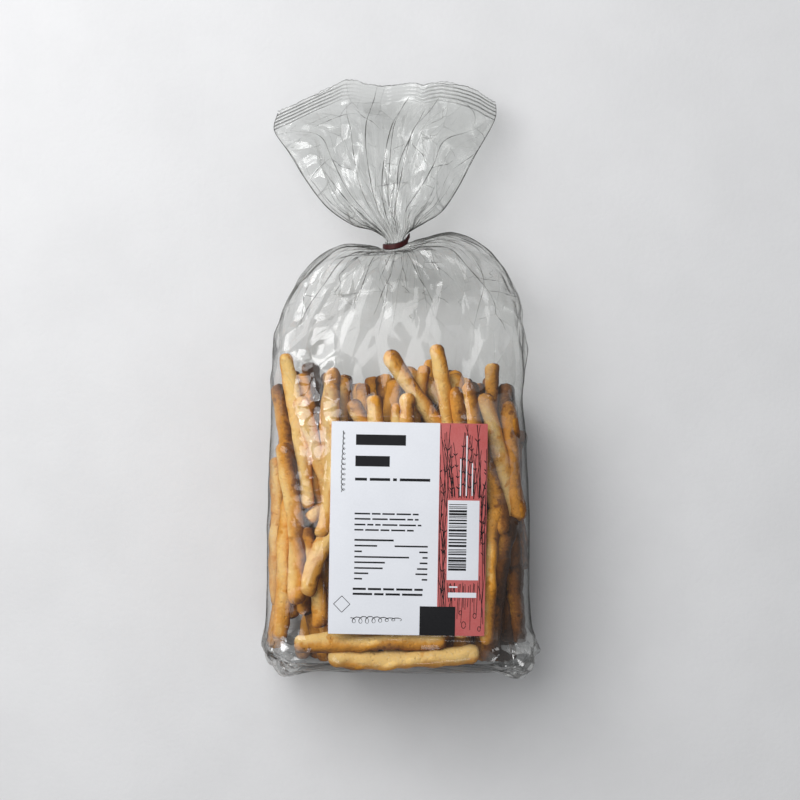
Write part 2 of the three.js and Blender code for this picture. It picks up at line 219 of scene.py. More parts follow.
def add_piece(name, slot, points, faces, material, uv=None, values=None, replaces=(), corner=None):
    """Makes an object from points in millimetres, rides it on the body and gives it its material.

    faces is a list of whole-number arrays, one row a face. uv is (name, array with one row a face corner)
    and values is a name to an array with one number a point.
    """
    mesh = bpy.data.meshes.new(name)
    mesh.from_pydata((points * MM).tolist(), [], [row for block in faces for row in block.tolist()])
    mesh.polygons.foreach_set("use_smooth", np.ones(len(mesh.polygons), bool))
    for key, numbers in (values or {}).items():
        layer = mesh.attributes.new(key, "FLOAT", "POINT")
        layer.data.foreach_set("value", np.asarray(numbers, np.float32).ravel())
    if uv is not None:
        layer = mesh.uv_layers.new(name=uv[0])
        layer.uv.foreach_set("vector", np.asarray(uv[1], np.float32).ravel())
    if corner is not None:
        mesh.set_sharp_from_angle(angle=corner)
    mesh.materials.append(material)
    mesh.update()
    piece = bpy.data.objects.new(name, mesh)
    bpy.context.collection.objects.link(piece)
    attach(piece, BODY)
    if replaces:
        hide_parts(*replaces)
    return piece


def tube_faces(count, rings, sides, way=1):
    """Quads between the rings of many tubes, and the two caps of each.

    way is 1 where the rings turn to the right as seen along the tube, and -1 where they turn to the left.
    """
    ring = np.arange(sides)
    start = np.arange(count)[:, None] * rings * sides
    a = start[..., None] + np.arange(rings - 1)[None, :, None] * sides + ring
    b = a - ring + (ring + 1) % sides
    corners = [a, b, b + sides, a + sides] if way > 0 else [a, a + sides, b + sides, b]
    last = start + (rings - 1) * sides
    return [np.stack(corners, -1).reshape(-1, 4), start + ring[::-way], last + ring[::way]]


def join(tree, entry, value):
    """Links a value to a socket, or sets the socket."""
    if isinstance(value, Value):
        tree.links.new(value.socket, entry)
    else:
        entry.default_value = value


class Value:
    """A number socket of a node tree. Arithmetic on it adds Math nodes."""

    def __init__(self, tree, socket):
        self.tree, self.socket = tree, socket

    def math(self, operation, *others, clamp=False):
        node = self.tree.nodes.new("ShaderNodeMath")
        node.operation, node.use_clamp = operation, clamp
        for entry, value in zip(node.inputs, (self, *others)):
            join(self.tree, entry, value)
        return Value(self.tree, node.outputs[0])

    def __add__(self, other):
        return self.math("ADD", other)

    def __sub__(self, other):
        return self.math("SUBTRACT", other)

    def __rsub__(self, other):
        return (self * -1.0) + other

    def __mul__(self, other):
        return self.math("MULTIPLY", other)

    def __truediv__(self, other):
        return self.math("DIVIDE", other)

    def __pow__(self, other):
        return self.math("POWER", other)

    def __abs__(self):
        return self.math("ABSOLUTE")

    def most(self, other):
        """The greater of the two."""
        return self.math("MAXIMUM", other)

    def least(self, other):
        """The smaller of the two."""
        return self.math("MINIMUM", other)

    def clamp(self):
        return self.math("ADD", 0.0, clamp=True)

    def over(self, low, high):
        """0 below low, 1 above high, and a smooth rise between them."""
        step = ((self - low) / (high - low)).clamp()
        return step * step * (3.0 - step * 2.0)

    __radd__, __rmul__ = __add__, __mul__


class Finish:
    """A material's node tree, whose nodes come from one method."""

    def __init__(self, name):
        self.material = bpy.data.materials.new(name)
        self.material.use_nodes = True
        self.tree = self.material.node_tree
        self.tree.nodes.clear()

    def add(self, kind, settings=None, out=0, **inputs):
        """Adds a node, makes its settings, sets or links its inputs and gives one output.

        An input is named with _ for a space, or as at_ and its number where names repeat.
        """
        node = self.tree.nodes.new(kind)
        for key, value in (settings or {}).items():
            setattr(node, key, value)
        for key, value in inputs.items():
            name = int(key[3:]) if key.startswith("at_") else key.replace("_", " ")
            join(self.tree, node.inputs[name], value)
        return Value(self.tree, node.outputs[out]) if node.outputs else None

    def beside(self, value, out):
        """Another output of the node that a value comes from."""
        return Value(self.tree, value.socket.node.outputs[out])

    def mix(self, share, first, second, blend="MIX"):
        """A colour between two colours."""
        colors = [c if isinstance(c, Value) else (*c, 1) for c in (first, second)]
        settings = {"data_type": "RGBA", "blend_type": blend}
        return self.add("ShaderNodeMix", settings, out=2, at_0=share, at_6=colors[0], at_7=colors[1])

    def place(self, stretch=(1, 1, 1), uv=None, turn=0.0, shift=(0, 0, 0)):
        """Object coordinates, or those of a UV map, in millimetres and then stretched."""
        if uv:
            start = self.add("ShaderNodeUVMap", {"uv_map": uv})
        else:
            start = self.add("ShaderNodeTexCoord", out=3)
        scale = tuple(1 / (MM * s) for s in stretch)
        return self.add("ShaderNodeMapping", Vector=start, Scale=scale, Rotation=(0, 0, turn),
                        Location=shift)

    def noise(self, size, detail=2.0, roughness=0.5):
        """Soft noise in space, with features of about a size in millimetres."""
        return self.add("ShaderNodeTexNoise", {"noise_dimensions": "3D"}, Vector=self.place(size), Scale=1.0,
                        Detail=detail, Roughness=roughness, Distortion=0.0)

    def film_noise(self, size, detail, distortion=0.0):
        """Soft noise over the flat film."""
        return self.add("ShaderNodeTexNoise", {"noise_dimensions": "2D"}, Scale=1.0, Detail=detail,
                        Vector=self.place(size, "flat_film"), Roughness=0.5, Distortion=distortion)

    def cells(self, place, feature="F1", space="2D"):
        """Distance to the nearest of scattered points, or to the edge between two."""
        settings = {"feature": feature, "voronoi_dimensions": space}
        return self.add("ShaderNodeTexVoronoi", settings, Vector=place, Scale=1.0)

    def value(self, name):
        """The numbers that a mesh holds under a name."""
        return self.add("ShaderNodeAttribute", {"attribute_name": name}, out=2)

    def bump(self, height, distance, strength=1.0):
        """A normal from a height, with the height of 1 standing for a distance in millimetres."""
        return self.add("ShaderNodeBump", Height=height, Distance=distance * MM, Strength=strength)

    def solid(self, **inputs):
        self.end(self.add("ShaderNodeBsdfPrincipled", **inputs))
        return self.material

    def end(self, shader):
        self.add("ShaderNodeOutputMaterial", Surface=shader)
        return self.material


# The bag's form


def smooth_step(low, high, values):
    """0 below low, 1 above high, and 3t^2 - 2t^3 between them."""
    t = np.clip((values - low) / (high - low), 0, 1)
    return t * t * (3 - 2 * t)


def hermite(a, b, start, end, t):
    """A cubic from a to b that leaves along start and arrives along end, at t from 0 to 1."""
    t2, t3 = t * t, t * t * t
    return a * (2 * t3 - 3 * t2 + 1) + start * (t3 - 2 * t2 + t) + b * (3 * t2 - 2 * t3) + end * (t3 - t2)


def ring_fields(table, places):
    """Ring values at fractional places of a table, on a Catmull-Rom curve through its rows."""
    k = np.clip(places.astype(int), 0, len(table) - 2)
    t = (places - k)[:, None]
    a, b, c, d = (table[np.clip(k + n, 0, len(table) - 1)] for n in (-1, 0, 1, 2))
    return dict(zip(FIELDS, hermite(b, c, (c - a) / 2, (d - b) / 2, t).T))


def film_points(rings, turns, folds=None):
    """The film over a grid of rings and turns.

    A ring is a superellipse: x = a k cos t and z = b k sin t with k = (|cos t|^n + |sin t|^n)^(-1/n), its
    radius raised by folds, or by plain pleats where none are given. Folds push less sideways than up. y
    runs from the left end's to the right end's, and arches between them.
    """
    r = {key: value[:, None] for key, value in rings.items()}
    wide, deep = (r["right"] - r["left"]) / 2, (r["top"] - r["under"]) / 2
    across, up = np.cos(turns)[None], np.sin(turns)[None]
    reach = (np.abs(across) ** r["square"] + np.abs(up) ** r["square"]) ** (-1 / r["square"])
    sideways = np.minimum(1, deep / wide) ** 2 * (1 if folds is None else 0.35)
    pleat = r["pleat"] * (np.cos(PLEATS * turns)[None] if folds is None else folds)
    x = (r["left"] + r["right"]) / 2 + wide * across * reach * (1 + pleat * sideways)
    share = np.clip((x - r["left"]) / (r["right"] - r["left"]), 0, 1)
    arch = r["arch"] * (1 - np.abs(2 * share - 1) ** ARCH_POWER)
    y = r["y_left"] + (r["y_right"] - r["y_left"]) * share + arch
    sway = r["wave"] * np.sin(TURN * WAVES_ACROSS * share)
    z = (r["top"] + r["under"]) / 2 + sway + deep * up * reach * (1 + pleat)
    return np.stack([x, y, np.maximum(z, 0)], axis=-1)


@functools.lru_cache
def body_profile():
    """Ring values of the full part of the body against y, for anything that lies on or in it."""
    rings = ring_fields(BODY_RINGS, np.linspace(FIRST_FULL_RING, LAST_FULL_RING, PROFILE_STEPS))
    return (rings["y_left"] + rings["y_right"]) / 2, rings


def body_ring(y):
    """The body's ring values at y."""
    along, rings = body_profile()
    return {key: np.interp(y, along, values) for key, values in rings.items()}


def top_height(x, y):
    """Height of the film's upper side over x and y: the upper half of the ring's superellipse."""
    r = body_ring(y)
    wide, deep = (r["right"] - r["left"]) / 2, (r["top"] - r["under"]) / 2
    off = np.minimum(np.abs(x - (r["left"] + r["right"]) / 2) / wide, 0.995)
    return (r["top"] + r["under"]) / 2 + deep * (1 - off ** r["square"]) ** (1 / r["square"])


def label_inside(x, y, margin):
    """1 over the label, falling to 0 at a margin round it."""
    dx, dy = x - LABEL["middle"][0], y - LABEL["middle"][1]
    c, s = math.cos(LABEL["turn"]), math.sin(LABEL["turn"])
    u = np.abs(dx * c + dy * s) - LABEL["width"] / 2
    v = np.abs(-dx * s + dy * c) - LABEL["height"] / 2
    return 1 - smooth_step(0, margin, np.maximum(u, v))


def facets(u, v, size, seed, around=None):
    """A crumpled sheet of flat facets between straight creases, with slopes of about 1.

    Two fields of the squared distance to the nearest of scattered points are taken from each other. Both
    curve alike, so what is left has no curve in it. around is the length after which u repeats.
    """
    random = np.random.default_rng(seed)
    rows = 97
    wrap = max(3, round(around / size)) if around else rows
    wide = around / wrap if around else size
    field = np.zeros(u.shape)
    for sign in (1, -1):
        scatter = random.uniform(0, 1, (wrap, rows, 2))
        a, b = np.floor(u / wide).astype(int), np.floor(v / size).astype(int)
        nearest = np.full(u.shape, np.inf)
        for k in (-1, 0, 1):
            for n in (-1, 0, 1):
                point = scatter[(a + k) % wrap, (b + n) % rows]
                apart = ((a + k + point[..., 0]) * wide - u) ** 2 + ((b + n + point[..., 1]) * size - v) ** 2
                nearest = np.minimum(nearest, apart)
        field += sign * nearest / size
    return field


def long_folds(x, y, rows):
    """Single folds seen from above: a roof, exp(-|across| / wide), with ends that fade, along a line.

    A row is x0, y0, x1, y1, height, width and bend, the last being how far the line bows to its left.
    """
    field = np.zeros(x.shape)
    for x0, y0, x1, y1, height, wide, bend in rows:
        long = math.hypot(x1 - x0, y1 - y0)
        c, s = (x1 - x0) / long, (y1 - y0) / long
        along = ((x - x0) * c + (y - y0) * s) / long
        across = -(x - x0) * s + (y - y0) * c - 4 * bend * along * (1 - along)
        ends = smooth_step(-0.05, 0.2, along) * smooth_step(1.05, 0.75, along)
        field += height * ends * np.exp(-np.abs(across) / wide)
    return field


def soft_patch(x, y, middle, reach):
    """1 in the middle of a patch and soon 0 beyond its reach: exp(-u^4 - v^4)."""
    return np.exp(-(((x - middle[0]) / reach[0]) ** 4) - ((y - middle[1]) / reach[1]) ** 4)


# The sticks


def axis_height(x, y, radius, proud):
    """The height at which a stick's axis touches the film from inside, standing proud of it a little.

    It is the lowest of h(x + d) - sqrt(R^2 - d^2) over offsets d up to R, with R the radius less the rise.
    """
    steps = np.array([-1, -0.9, -0.75, -0.5, -0.25, 0, 0.25, 0.5, 0.75, 0.9, 1])
    reach = (radius - proud)[..., None]
    offsets = reach * steps
    roof = top_height(x[..., None] + offsets, y[..., None] + 0 * offsets)
    return (roof - np.sqrt(reach**2 - offsets**2)).min(axis=-1)


def highest(x, y, radius, sizes):
    """The greatest height of a stick's axis: under the film, and lower still under the label."""
    proud = sizes.proud / MM
    pressed = (proud - LABEL_PRESS) * label_inside(x, y, LABEL_MARGIN)
    return axis_height(x, y, radius, np.full_like(radius, proud)) - pressed


def nearest_on_pairs(p, q, i, j):
    """How far along each of two segments their nearest points lie, for many pairs at once."""
    d1, d2, w = q[i] - p[i], q[j] - p[j], p[i] - p[j]
    a, b, c = (d1 * d1).sum(1), (d1 * d2).sum(1), (d2 * d2).sum(1)
    d, e = (d1 * w).sum(1), (d2 * w).sum(1)
    low = np.maximum(a * c - b * b, 1e-6)
    s = np.clip((b * e - c * d) / low, 0, 1)
    t = np.clip((b * s + e) / c, 0, 1)
    s = np.clip((b * t - d) / a, 0, 1)
    return s, t


def keep_inside(ends, radius, shown, limit):
    """Brings stick ends back inside the film's superellipse, and shown ones in height alone."""
    ring = body_ring(ends[:, 1])
    cx, cz = (ring["left"] + ring["right"]) / 2, (ring["top"] + ring["under"]) / 2
    a, b = (ring["right"] - ring["left"]) / 2 - radius, (ring["top"] - ring["under"]) / 2 - radius
    power = ring["square"]
    out = (np.abs(ends[:, 0] - cx) / a) ** power + (np.abs(ends[:, 2] - cz) / b) ** power
    back = np.where(out > 1, out ** (-1 / power), 1)
    ends[:, 0] = cx + (ends[:, 0] - cx) * np.where(shown, 1, back)
    ends[:, 2] = cz + (ends[:, 2] - cz) * back
    ends[:, 1] = np.clip(ends[:, 1], BASE_INSIDE + radius, limit)
    ends[:, 2] = np.maximum(ends[:, 2], radius * UNEVEN + 0.6)


def settle(tips, feet, radius, shown, ceiling, limit, rounds=220):
    """Pushes overlapping sticks apart inside the bag and keeps each at its length.

    Each round moves the nearest points of every overlapping pair away from each other, shares the move
    between a stick's two ends by how near they are, and brings back what left the film's superellipse.
    Sticks that show only sink. ceiling is the greatest height of each one's tip and foot, and limit the
    greatest y of either.
    """
    p, q = tips.copy(), feet.copy()
    length = np.linalg.norm(q - p, axis=1)
    i, j = np.triu_indices(len(p), 1)
    give = np.where(shown, SHOWN_GIVE, 1.0)
    for _ in range(rounds):
        s, t = nearest_on_pairs(p, q, i, j)
        gap = (p[i] + (q[i] - p[i]) * s[:, None]) - (p[j] + (q[j] - p[j]) * t[:, None])
        apart = np.linalg.norm(gap, axis=1)
        short = np.maximum(radius[i] + radius[j] + STICK_GAP - apart, 0)
        near = short > 0
        a, b, s, t = i[near], j[near], s[near, None], t[near, None]
        push = gap[near] / np.maximum(apart[near, None], 1e-3) * short[near, None] * 0.5
        share = (give[a] / (give[a] + give[b]))[:, None]
        for who, at, part in ((a, s, push * share), (b, t, -push * (1 - share))):
            scale = part / ((1 - at) ** 2 + at**2)
            np.add.at(p, who, scale * (1 - at))
            np.add.at(q, who, scale * at)
        for end, (ends, start) in enumerate(((p, tips), (q, feet))):
            ends[~shown, 2] -= SINK
            ends[shown, :2] = start[shown, :2]
            keep_inside(ends, radius, shown, limit)
            ends[:, 2] = np.minimum(ends[:, 2], ceiling[:, end])
            ends[shown, 2] = np.maximum(ends[shown, 2], ceiling[shown, end] - MOST_SINK)
        way = q - p
        now = np.linalg.norm(way, axis=1)
        fix = way * ((now - length) / now / 2)[:, None]
        p[~shown] += fix[~shown]
        q[~shown] -= fix[~shown]
    return p, q


def shown_ends(sizes):
    """Ends of the sticks that show, as the table has them: tips, feet, radius and how brown."""
    radius = SHOWN_STICKS[:, 6] / 2
    tips, feet = (np.stack([x, y, highest(x, y, radius, sizes) - depth], axis=1)
                  for x, y, depth in (SHOWN_STICKS[:, [0, 1, 4]].T, SHOWN_STICKS[:, [2, 3, 5]].T))
    inset = (feet - tips) / np.linalg.norm(feet - tips, axis=1, keepdims=True) * radius[:, None] * 0.85
    return tips + inset, feet - inset, radius, SHOWN_STICKS[:, 7]


def filling_ends(sizes, count, random):
    """Ends of hidden sticks: five levels, two rows along the bag, each stick a little astray."""
    rest = []
    for level, z in enumerate(np.linspace(6.0, 46.0, 5)):
        for head in (1.0, -69.0):
            for x in np.linspace(-55, 55, 11):
                rest.append((x + random.normal() * 1.6, head - random.uniform(0, 7) + 4 * (level % 2),
                             z + random.normal() * 1.2, random.normal() * 0.1, random.normal() * 0.05))
    rest = np.array(rest)
    rest = rest[random.permutation(len(rest))[:count]]
    long = sizes.length / MM * random.uniform(0.84, 1.08, len(rest))
    radius = sizes.diameter / MM / 2 * random.uniform(0.86, 1.1, len(rest))
    tips, yaw, pitch = rest[:, :3], rest[:, 3], rest[:, 4]
    way = np.stack([np.sin(yaw), -np.cos(yaw) * np.cos(pitch), np.sin(pitch)], axis=1)
    # The 0.45 added to hidden sticks' browning is painted shade in the gaps between the sticks.
    return tips, tips + way * long[:, None], radius, 0.45 + random.beta(2.2, 2.4, len(rest))


def bent_lines(tips, feet, radius, sizes, random, stations=9):
    """Axes with a bow, 1 - (2s - 1)^2, and a slight S, sin 2 pi s, kept under the film and over the floor."""
    s = np.linspace(0, 1, stations)
    line = tips[:, None] + (feet - tips)[:, None] * s[None, :, None]
    side = np.stack([-(feet - tips)[:, 1], (feet - tips)[:, 0], 0 * radius], axis=1)
    side /= np.linalg.norm(side, axis=1, keepdims=True)
    bow = (1 - (2 * s - 1) ** 2)[None] * random.normal(0, 1.2, len(tips))[:, None]
    curl = np.sin(TURN * s)[None] * random.normal(0, 0.35, len(tips))[:, None]
    line = line + side[:, None] * (bow + curl)[..., None]
    line[..., 2] += bow[:, ::-1] * random.uniform(-0.5, 0.5, len(tips))[:, None]
    roof = highest(line[..., 0], line[..., 1], np.broadcast_to(radius[:, None], line.shape[:2]), sizes)
    line[..., 2] = np.maximum(np.minimum(line[..., 2], roof), radius[:, None] * UNEVEN + 0.45)
    return line


@functools.lru_cache
def settled_sticks():
    """The axes of all sticks: stations along each one, its radius, how brown it is with painted shade added,
    and if it shows.
    """
    sizes = bpy.context.scene.breadstick_bag.sticks
    random = np.random.default_rng(sizes.seed)
    count = len(SHOWN_STICKS)
    kinds = zip(shown_ends(sizes), filling_ends(sizes, sizes.count - count, random))
    tips, feet, radius, browned_and_shaded = (np.concatenate(pair) for pair in kinds)
    shown = np.arange(len(tips)) < count
    # Painted shade: sticks towards the bag's right side are made browner, as the light falls from the left.
    browned_and_shaded = browned_and_shaded + 0.65 * smooth_step(28, 57, tips[:, 0])
    ceiling = np.where(shown[:, None], np.stack([tips[:, 2], feet[:, 2]], 1), 99.0)
    limit = np.where(shown, 99, 5 - random.uniform(0, 19, len(tips)))
    tips, feet = settle(tips, feet, radius, shown, ceiling, limit)
    return bent_lines(tips, feet, radius, sizes, random), radius, browned_and_shaded, shown


def along_axis(line, s):
    """Points on Catmull-Rom curves through many sticks' stations, and straight on beyond their ends."""
    last = line.shape[1] - 1
    k = np.clip(s.astype(int), 0, last - 1)
    t = (s - k)[..., None]
    who = np.arange(len(line))[:, None]
    before, a, b, after = (line[who, np.clip(k + n, 0, last)] for n in (-1, 0, 1, 2))
    inside = (s[..., None] >= 0) & (s[..., None] <= last)
    return np.where(inside, hermite(a, b, (b - before) / 2, (after - a) / 2, t), a + (b - a) * t)


def lumps(random, count, share, turn):
    """Slow lumps: a sum of sines along and round each stick, with random phases."""
    field = np.zeros((count, len(share), len(turn)))
    one = (count, 1, 1)
    for waves, size in ((1.3, 0.07), (2.6, 0.05), (5.2, 0.035), (9.5, 0.02)):
        for around in range(4):
            phase = random.uniform(0, TURN, one)
            skew = random.uniform(0.7, 1.3, one)
            strength = size * random.normal(0, 0.7, one)
            field += strength * np.sin(TURN * waves * skew * share[:, None] + around * turn + phase)
    return field


def baked_and_shaded(random, browned_and_shaded, share, from_end, turn, way):
    """How dark each point is: browner at the ends and in blotches, with painted shade away from the light.

    from_end is in radii. The painted shade is 0.5 - 0.5 cos of the turn from the palest side, which faces up
    and to the left towards the light, and an end fades with the distance from it.
    """
    one = (len(browned_and_shaded), 1, 1)
    # The palest side faces up and to the left, towards the light; the side away from it gets painted shade.
    pale = math.pi / 2 - np.sign(way[:, 1])[:, None, None] * 0.55 + random.normal(0, 0.6, one)
    shade_side = 0.5 - 0.5 * np.cos(turn - pale)
    end = np.exp(-(from_end / random.uniform(0.7, 2.4, one[:2])) ** 1.2)[..., None]
    blotch = 0.112 * np.sin(TURN * 2.1 * share[:, None] + random.uniform(0, TURN, one) + turn)
    return 0.75 * browned_and_shaded[:, None, None] + 1.25 * shade_side + random.uniform(0.1, 0.6, one) * end + blotch - 0.22


def stick_surfaces(line, radius, browned_and_shaded, rings, sides, seed):
    """Closed surfaces of many sticks at once, with how dark each point is from baking and painted shade.

    A ring's radius is r (1 - e^p)^(1/p) near the ends, with e the share of the rounded end, times lumps.
    Rings lie closer together towards the ends.
    """
    random = np.random.default_rng(seed)
    count = len(line)
    total = np.linalg.norm(np.diff(line, axis=1), axis=2).sum(1) + 2 * radius
    even = np.linspace(0, 1, rings)
    share = 0.75 * (0.5 - 0.5 * np.cos(math.pi * even)) + 0.25 * even
    along = share[None] * total[:, None]
    from_end = np.minimum(along, total[:, None] - along) / radius[:, None]
    e = np.clip(1 - from_end / random.uniform(0.75, 1.25, (count, 1)), 0, 1)
    power = random.uniform(2.0, 2.9, (count, 1))
    shape = (1 - e**power) ** (1 / power)
    place = np.clip((along - radius[:, None]) / (total - 2 * radius)[:, None], -0.2, 1.2)
    middle = along_axis(line, place * (line.shape[1] - 1))

    way = (line[:, -1] - line[:, 0]) / np.linalg.norm(line[:, -1] - line[:, 0], axis=1, keepdims=True)
    up = np.cross(way, np.cross(np.array([0.0, 0.0, 1.0]), way))
    up = np.where(np.abs(way[:, 2:]) > 0.98, np.array([1.0, 0, 0]), up)
    up /= np.linalg.norm(up, axis=1, keepdims=True)
    over = np.cross(up, way)

    turn = np.linspace(0, TURN, sides, endpoint=False)
    fat = radius[:, None, None] * shape[..., None] * (1 + lumps(random, count, share, turn))
    oval = 1 + random.uniform(-0.05, 0.03, (count, 1, 1))
    points = (middle[:, :, None] + over[:, None, None] * (fat * np.cos(turn))[..., None]
              + up[:, None, None] * (fat * np.sin(turn) * oval)[..., None])
    bake_and_shade = baked_and_shaded(random, browned_and_shaded, share, from_end, turn, way)
    return points.reshape(-1, 3), tube_faces(count, rings, sides), bake_and_shade.ravel()


# The film over the sticks


def outward(points):
    """Unit normals of a closed tube of points, from the cross product of its two grid directions."""
    around = np.roll(points, -1, axis=1) - np.roll(points, 1, axis=1)
    normal = np.cross(np.gradient(points, axis=0), around)
    return normal / np.maximum(np.linalg.norm(normal, axis=-1, keepdims=True), 1e-9)


def clearance(points, normals, line, radius, gap):
    """How far each film point has to move along its normal to clear the sticks.

    For every stretch of a stick's axis the far root of |w + t n| = r + gap is taken, with w and n less
    their part along the stretch; its round ends use the same root with nothing taken off.
    """
    p, n = points.reshape(-1, 3), normals.reshape(-1, 3)
    need = np.full(len(p), FAR_OFF)
    for stick, r in zip(line, radius):
        size = r + gap
        low, high = stick.min(0) - size - 3, stick.max(0) + size + 3
        who = np.nonzero(((p > low) & (p < high)).all(1))[0]
        if not len(who):
            continue
        best = np.full(len(who), FAR_OFF)
        for a, b in zip(stick[:-1], stick[1:]):
            long = np.linalg.norm(b - a)
            u = (b - a) / long
            w = p[who] - a
            wu, nu = w @ u, n[who] @ u
            w, across = w - wu[:, None] * u, n[who] - nu[:, None] * u
            square, middle, rest = (across**2).sum(1), (w * across).sum(1), (w**2).sum(1) - size**2
            inner = middle**2 - square * rest
            t = (-middle + np.sqrt(np.maximum(inner, 0))) / np.maximum(square, 1e-6)
            at = wu + t * nu
            fits = (inner > 0) & (square > 0.02) & (at >= 0) & (at <= long)
            best = np.where(fits, np.maximum(best, t), best)
        for end in (stick[0], stick[-1]):
            w = p[who] - end
            middle = (w * n[who]).sum(1)
            inner = middle**2 - (w**2).sum(1) + size**2
            t = -middle + np.sqrt(np.maximum(inner, 0))
            best = np.where(inner > 0, np.maximum(best, t), best)
        need[who] = np.maximum(need[who], np.where(best < NEAR, best, FAR_OFF))
    return need.reshape(points.shape[:2])


def drape(need, rest, hold, rounds=260):
    """A film stretched over what it has to clear: each point is the mean of its neighbours, drawn a little
    to where it rests by itself, and never below what it has to clear."""
    film = np.maximum(need, rest)
    for _ in range(rounds):
        mean = film.copy()
        mean[1:-1] = (film[:-2] + film[2:]) / 4 + (np.roll(film, 1, 1) + np.roll(film, -1, 1))[1:-1] / 4
        film = np.maximum(mean * (1 - hold) + rest * hold, need)
    return film


def corner_rows(*corners):
    """Face corners one after the other, from u and v of each corner over all faces."""
    pairs = [np.stack(np.broadcast_arrays(u, v), -1) for u, v in corners]
    return np.stack(pairs, -2).reshape(-1, 2)


def tube_uv(u, v, zipped=0):
    """Flat film coordinates of a tube's face corners: u round it, v along it, unrolled at the seam.

    The tube starts in a pole, and ends in one too or in a number of corners that lie in its seam.
    """
    left, right, middle = u[:-1], u[1:], (u[:-1] + u[1:]) / 2
    low, high = v[:-1, None], v[1:, None]
    parts = [corner_rows((left, low), (left, high), (right, high), (right, low)),
             corner_rows((middle, v[0] - 2), (left, v[0]), (right, v[0]))]
    if zipped:
        parts.append(np.full((zipped, 2), v[-1]))
    else:
        parts.append(corner_rows((left, v[-1]), (middle, v[-1] + 2), (right, v[-1])))
    return np.concatenate(parts)


def pole_faces(columns, pole, last_row=0):
    """Triangles from a tube's first row, or the last where its first point is given, to a pole."""
    c = last_row + np.arange(columns)
    corners = [np.full(columns, pole), c, np.roll(c, -1)]
    if last_row:
        corners[:2] = corners[1::-1]
    return np.stack(corners, axis=-1)


def even_rows(table, count, weight=None):
    """Fractional places in a ring table that are evenly spaced along the film."""
    dense = np.linspace(0, len(table) - 1, 3000)
    four_sides = np.array([0.35, math.pi / 2, 2.8, -math.pi / 2])
    points = film_points(ring_fields(table, dense), four_sides)
    step = np.linalg.norm(np.diff(points, axis=0), axis=2).mean(1)
    if weight is not None:
        step = step * weight(dense[1:])
    far = np.concatenate([[0], np.cumsum(step)])
    return np.interp(np.linspace(0, far[-1], count), far, dense)


def film_lengths(points):
    """Lengths of the film from its first row, and round its fullest row from the seam.

    The third value is how far the film is spread at each point against that row, less where it is gathered.
    """
    along = np.linalg.norm(np.diff(points, axis=0), axis=2).mean(1)
    steps = np.linalg.norm(np.roll(points, -1, 1) - points, axis=2)
    fullest = steps[steps.sum(1).argmax()]
    v, u = (np.concatenate([[0], np.cumsum(lengths)]) for lengths in (along, fullest))
    return v, u, np.clip(steps / fullest, 0.08, 1.2)


def columns_of(count, upper=0.0, sides=0.15):
    """Turns round the bag from the middle of its back, closer together where the film faces up."""
    even = np.linspace(0, TURN, count, endpoint=False) - math.pi / 2
    return even + sides * np.sin(2 * even) + upper * np.cos(even)


def fold_pattern(turns, far, seed, counts, reach):
    """Gathers round the neck: sharp folds, 1 - 2 |sin|, of several sizes that wander a little.

    far is the distance from the neck, and the more folds of one size there are, the sooner they fade.
    """
    random = np.random.default_rng(seed)
    field = np.zeros((len(far), len(turns)))
    for waves, size in counts:
        wander = sum(random.normal() * 0.3 * np.sin(far / random.uniform(12, 40) + random.uniform(0, TURN))
                     for _ in range(2))
        level = 1 + 0.6 * np.sin(turns * random.integers(2, 5) + random.uniform(0, TURN))
        fold = 1 - 2 * np.abs(np.sin((turns[None] * waves + random.uniform(0, TURN)) / 2 + wander[:, None]))
        field += size * level[None] * np.exp(-far * waves / (12 * reach))[:, None] * fold
    return field


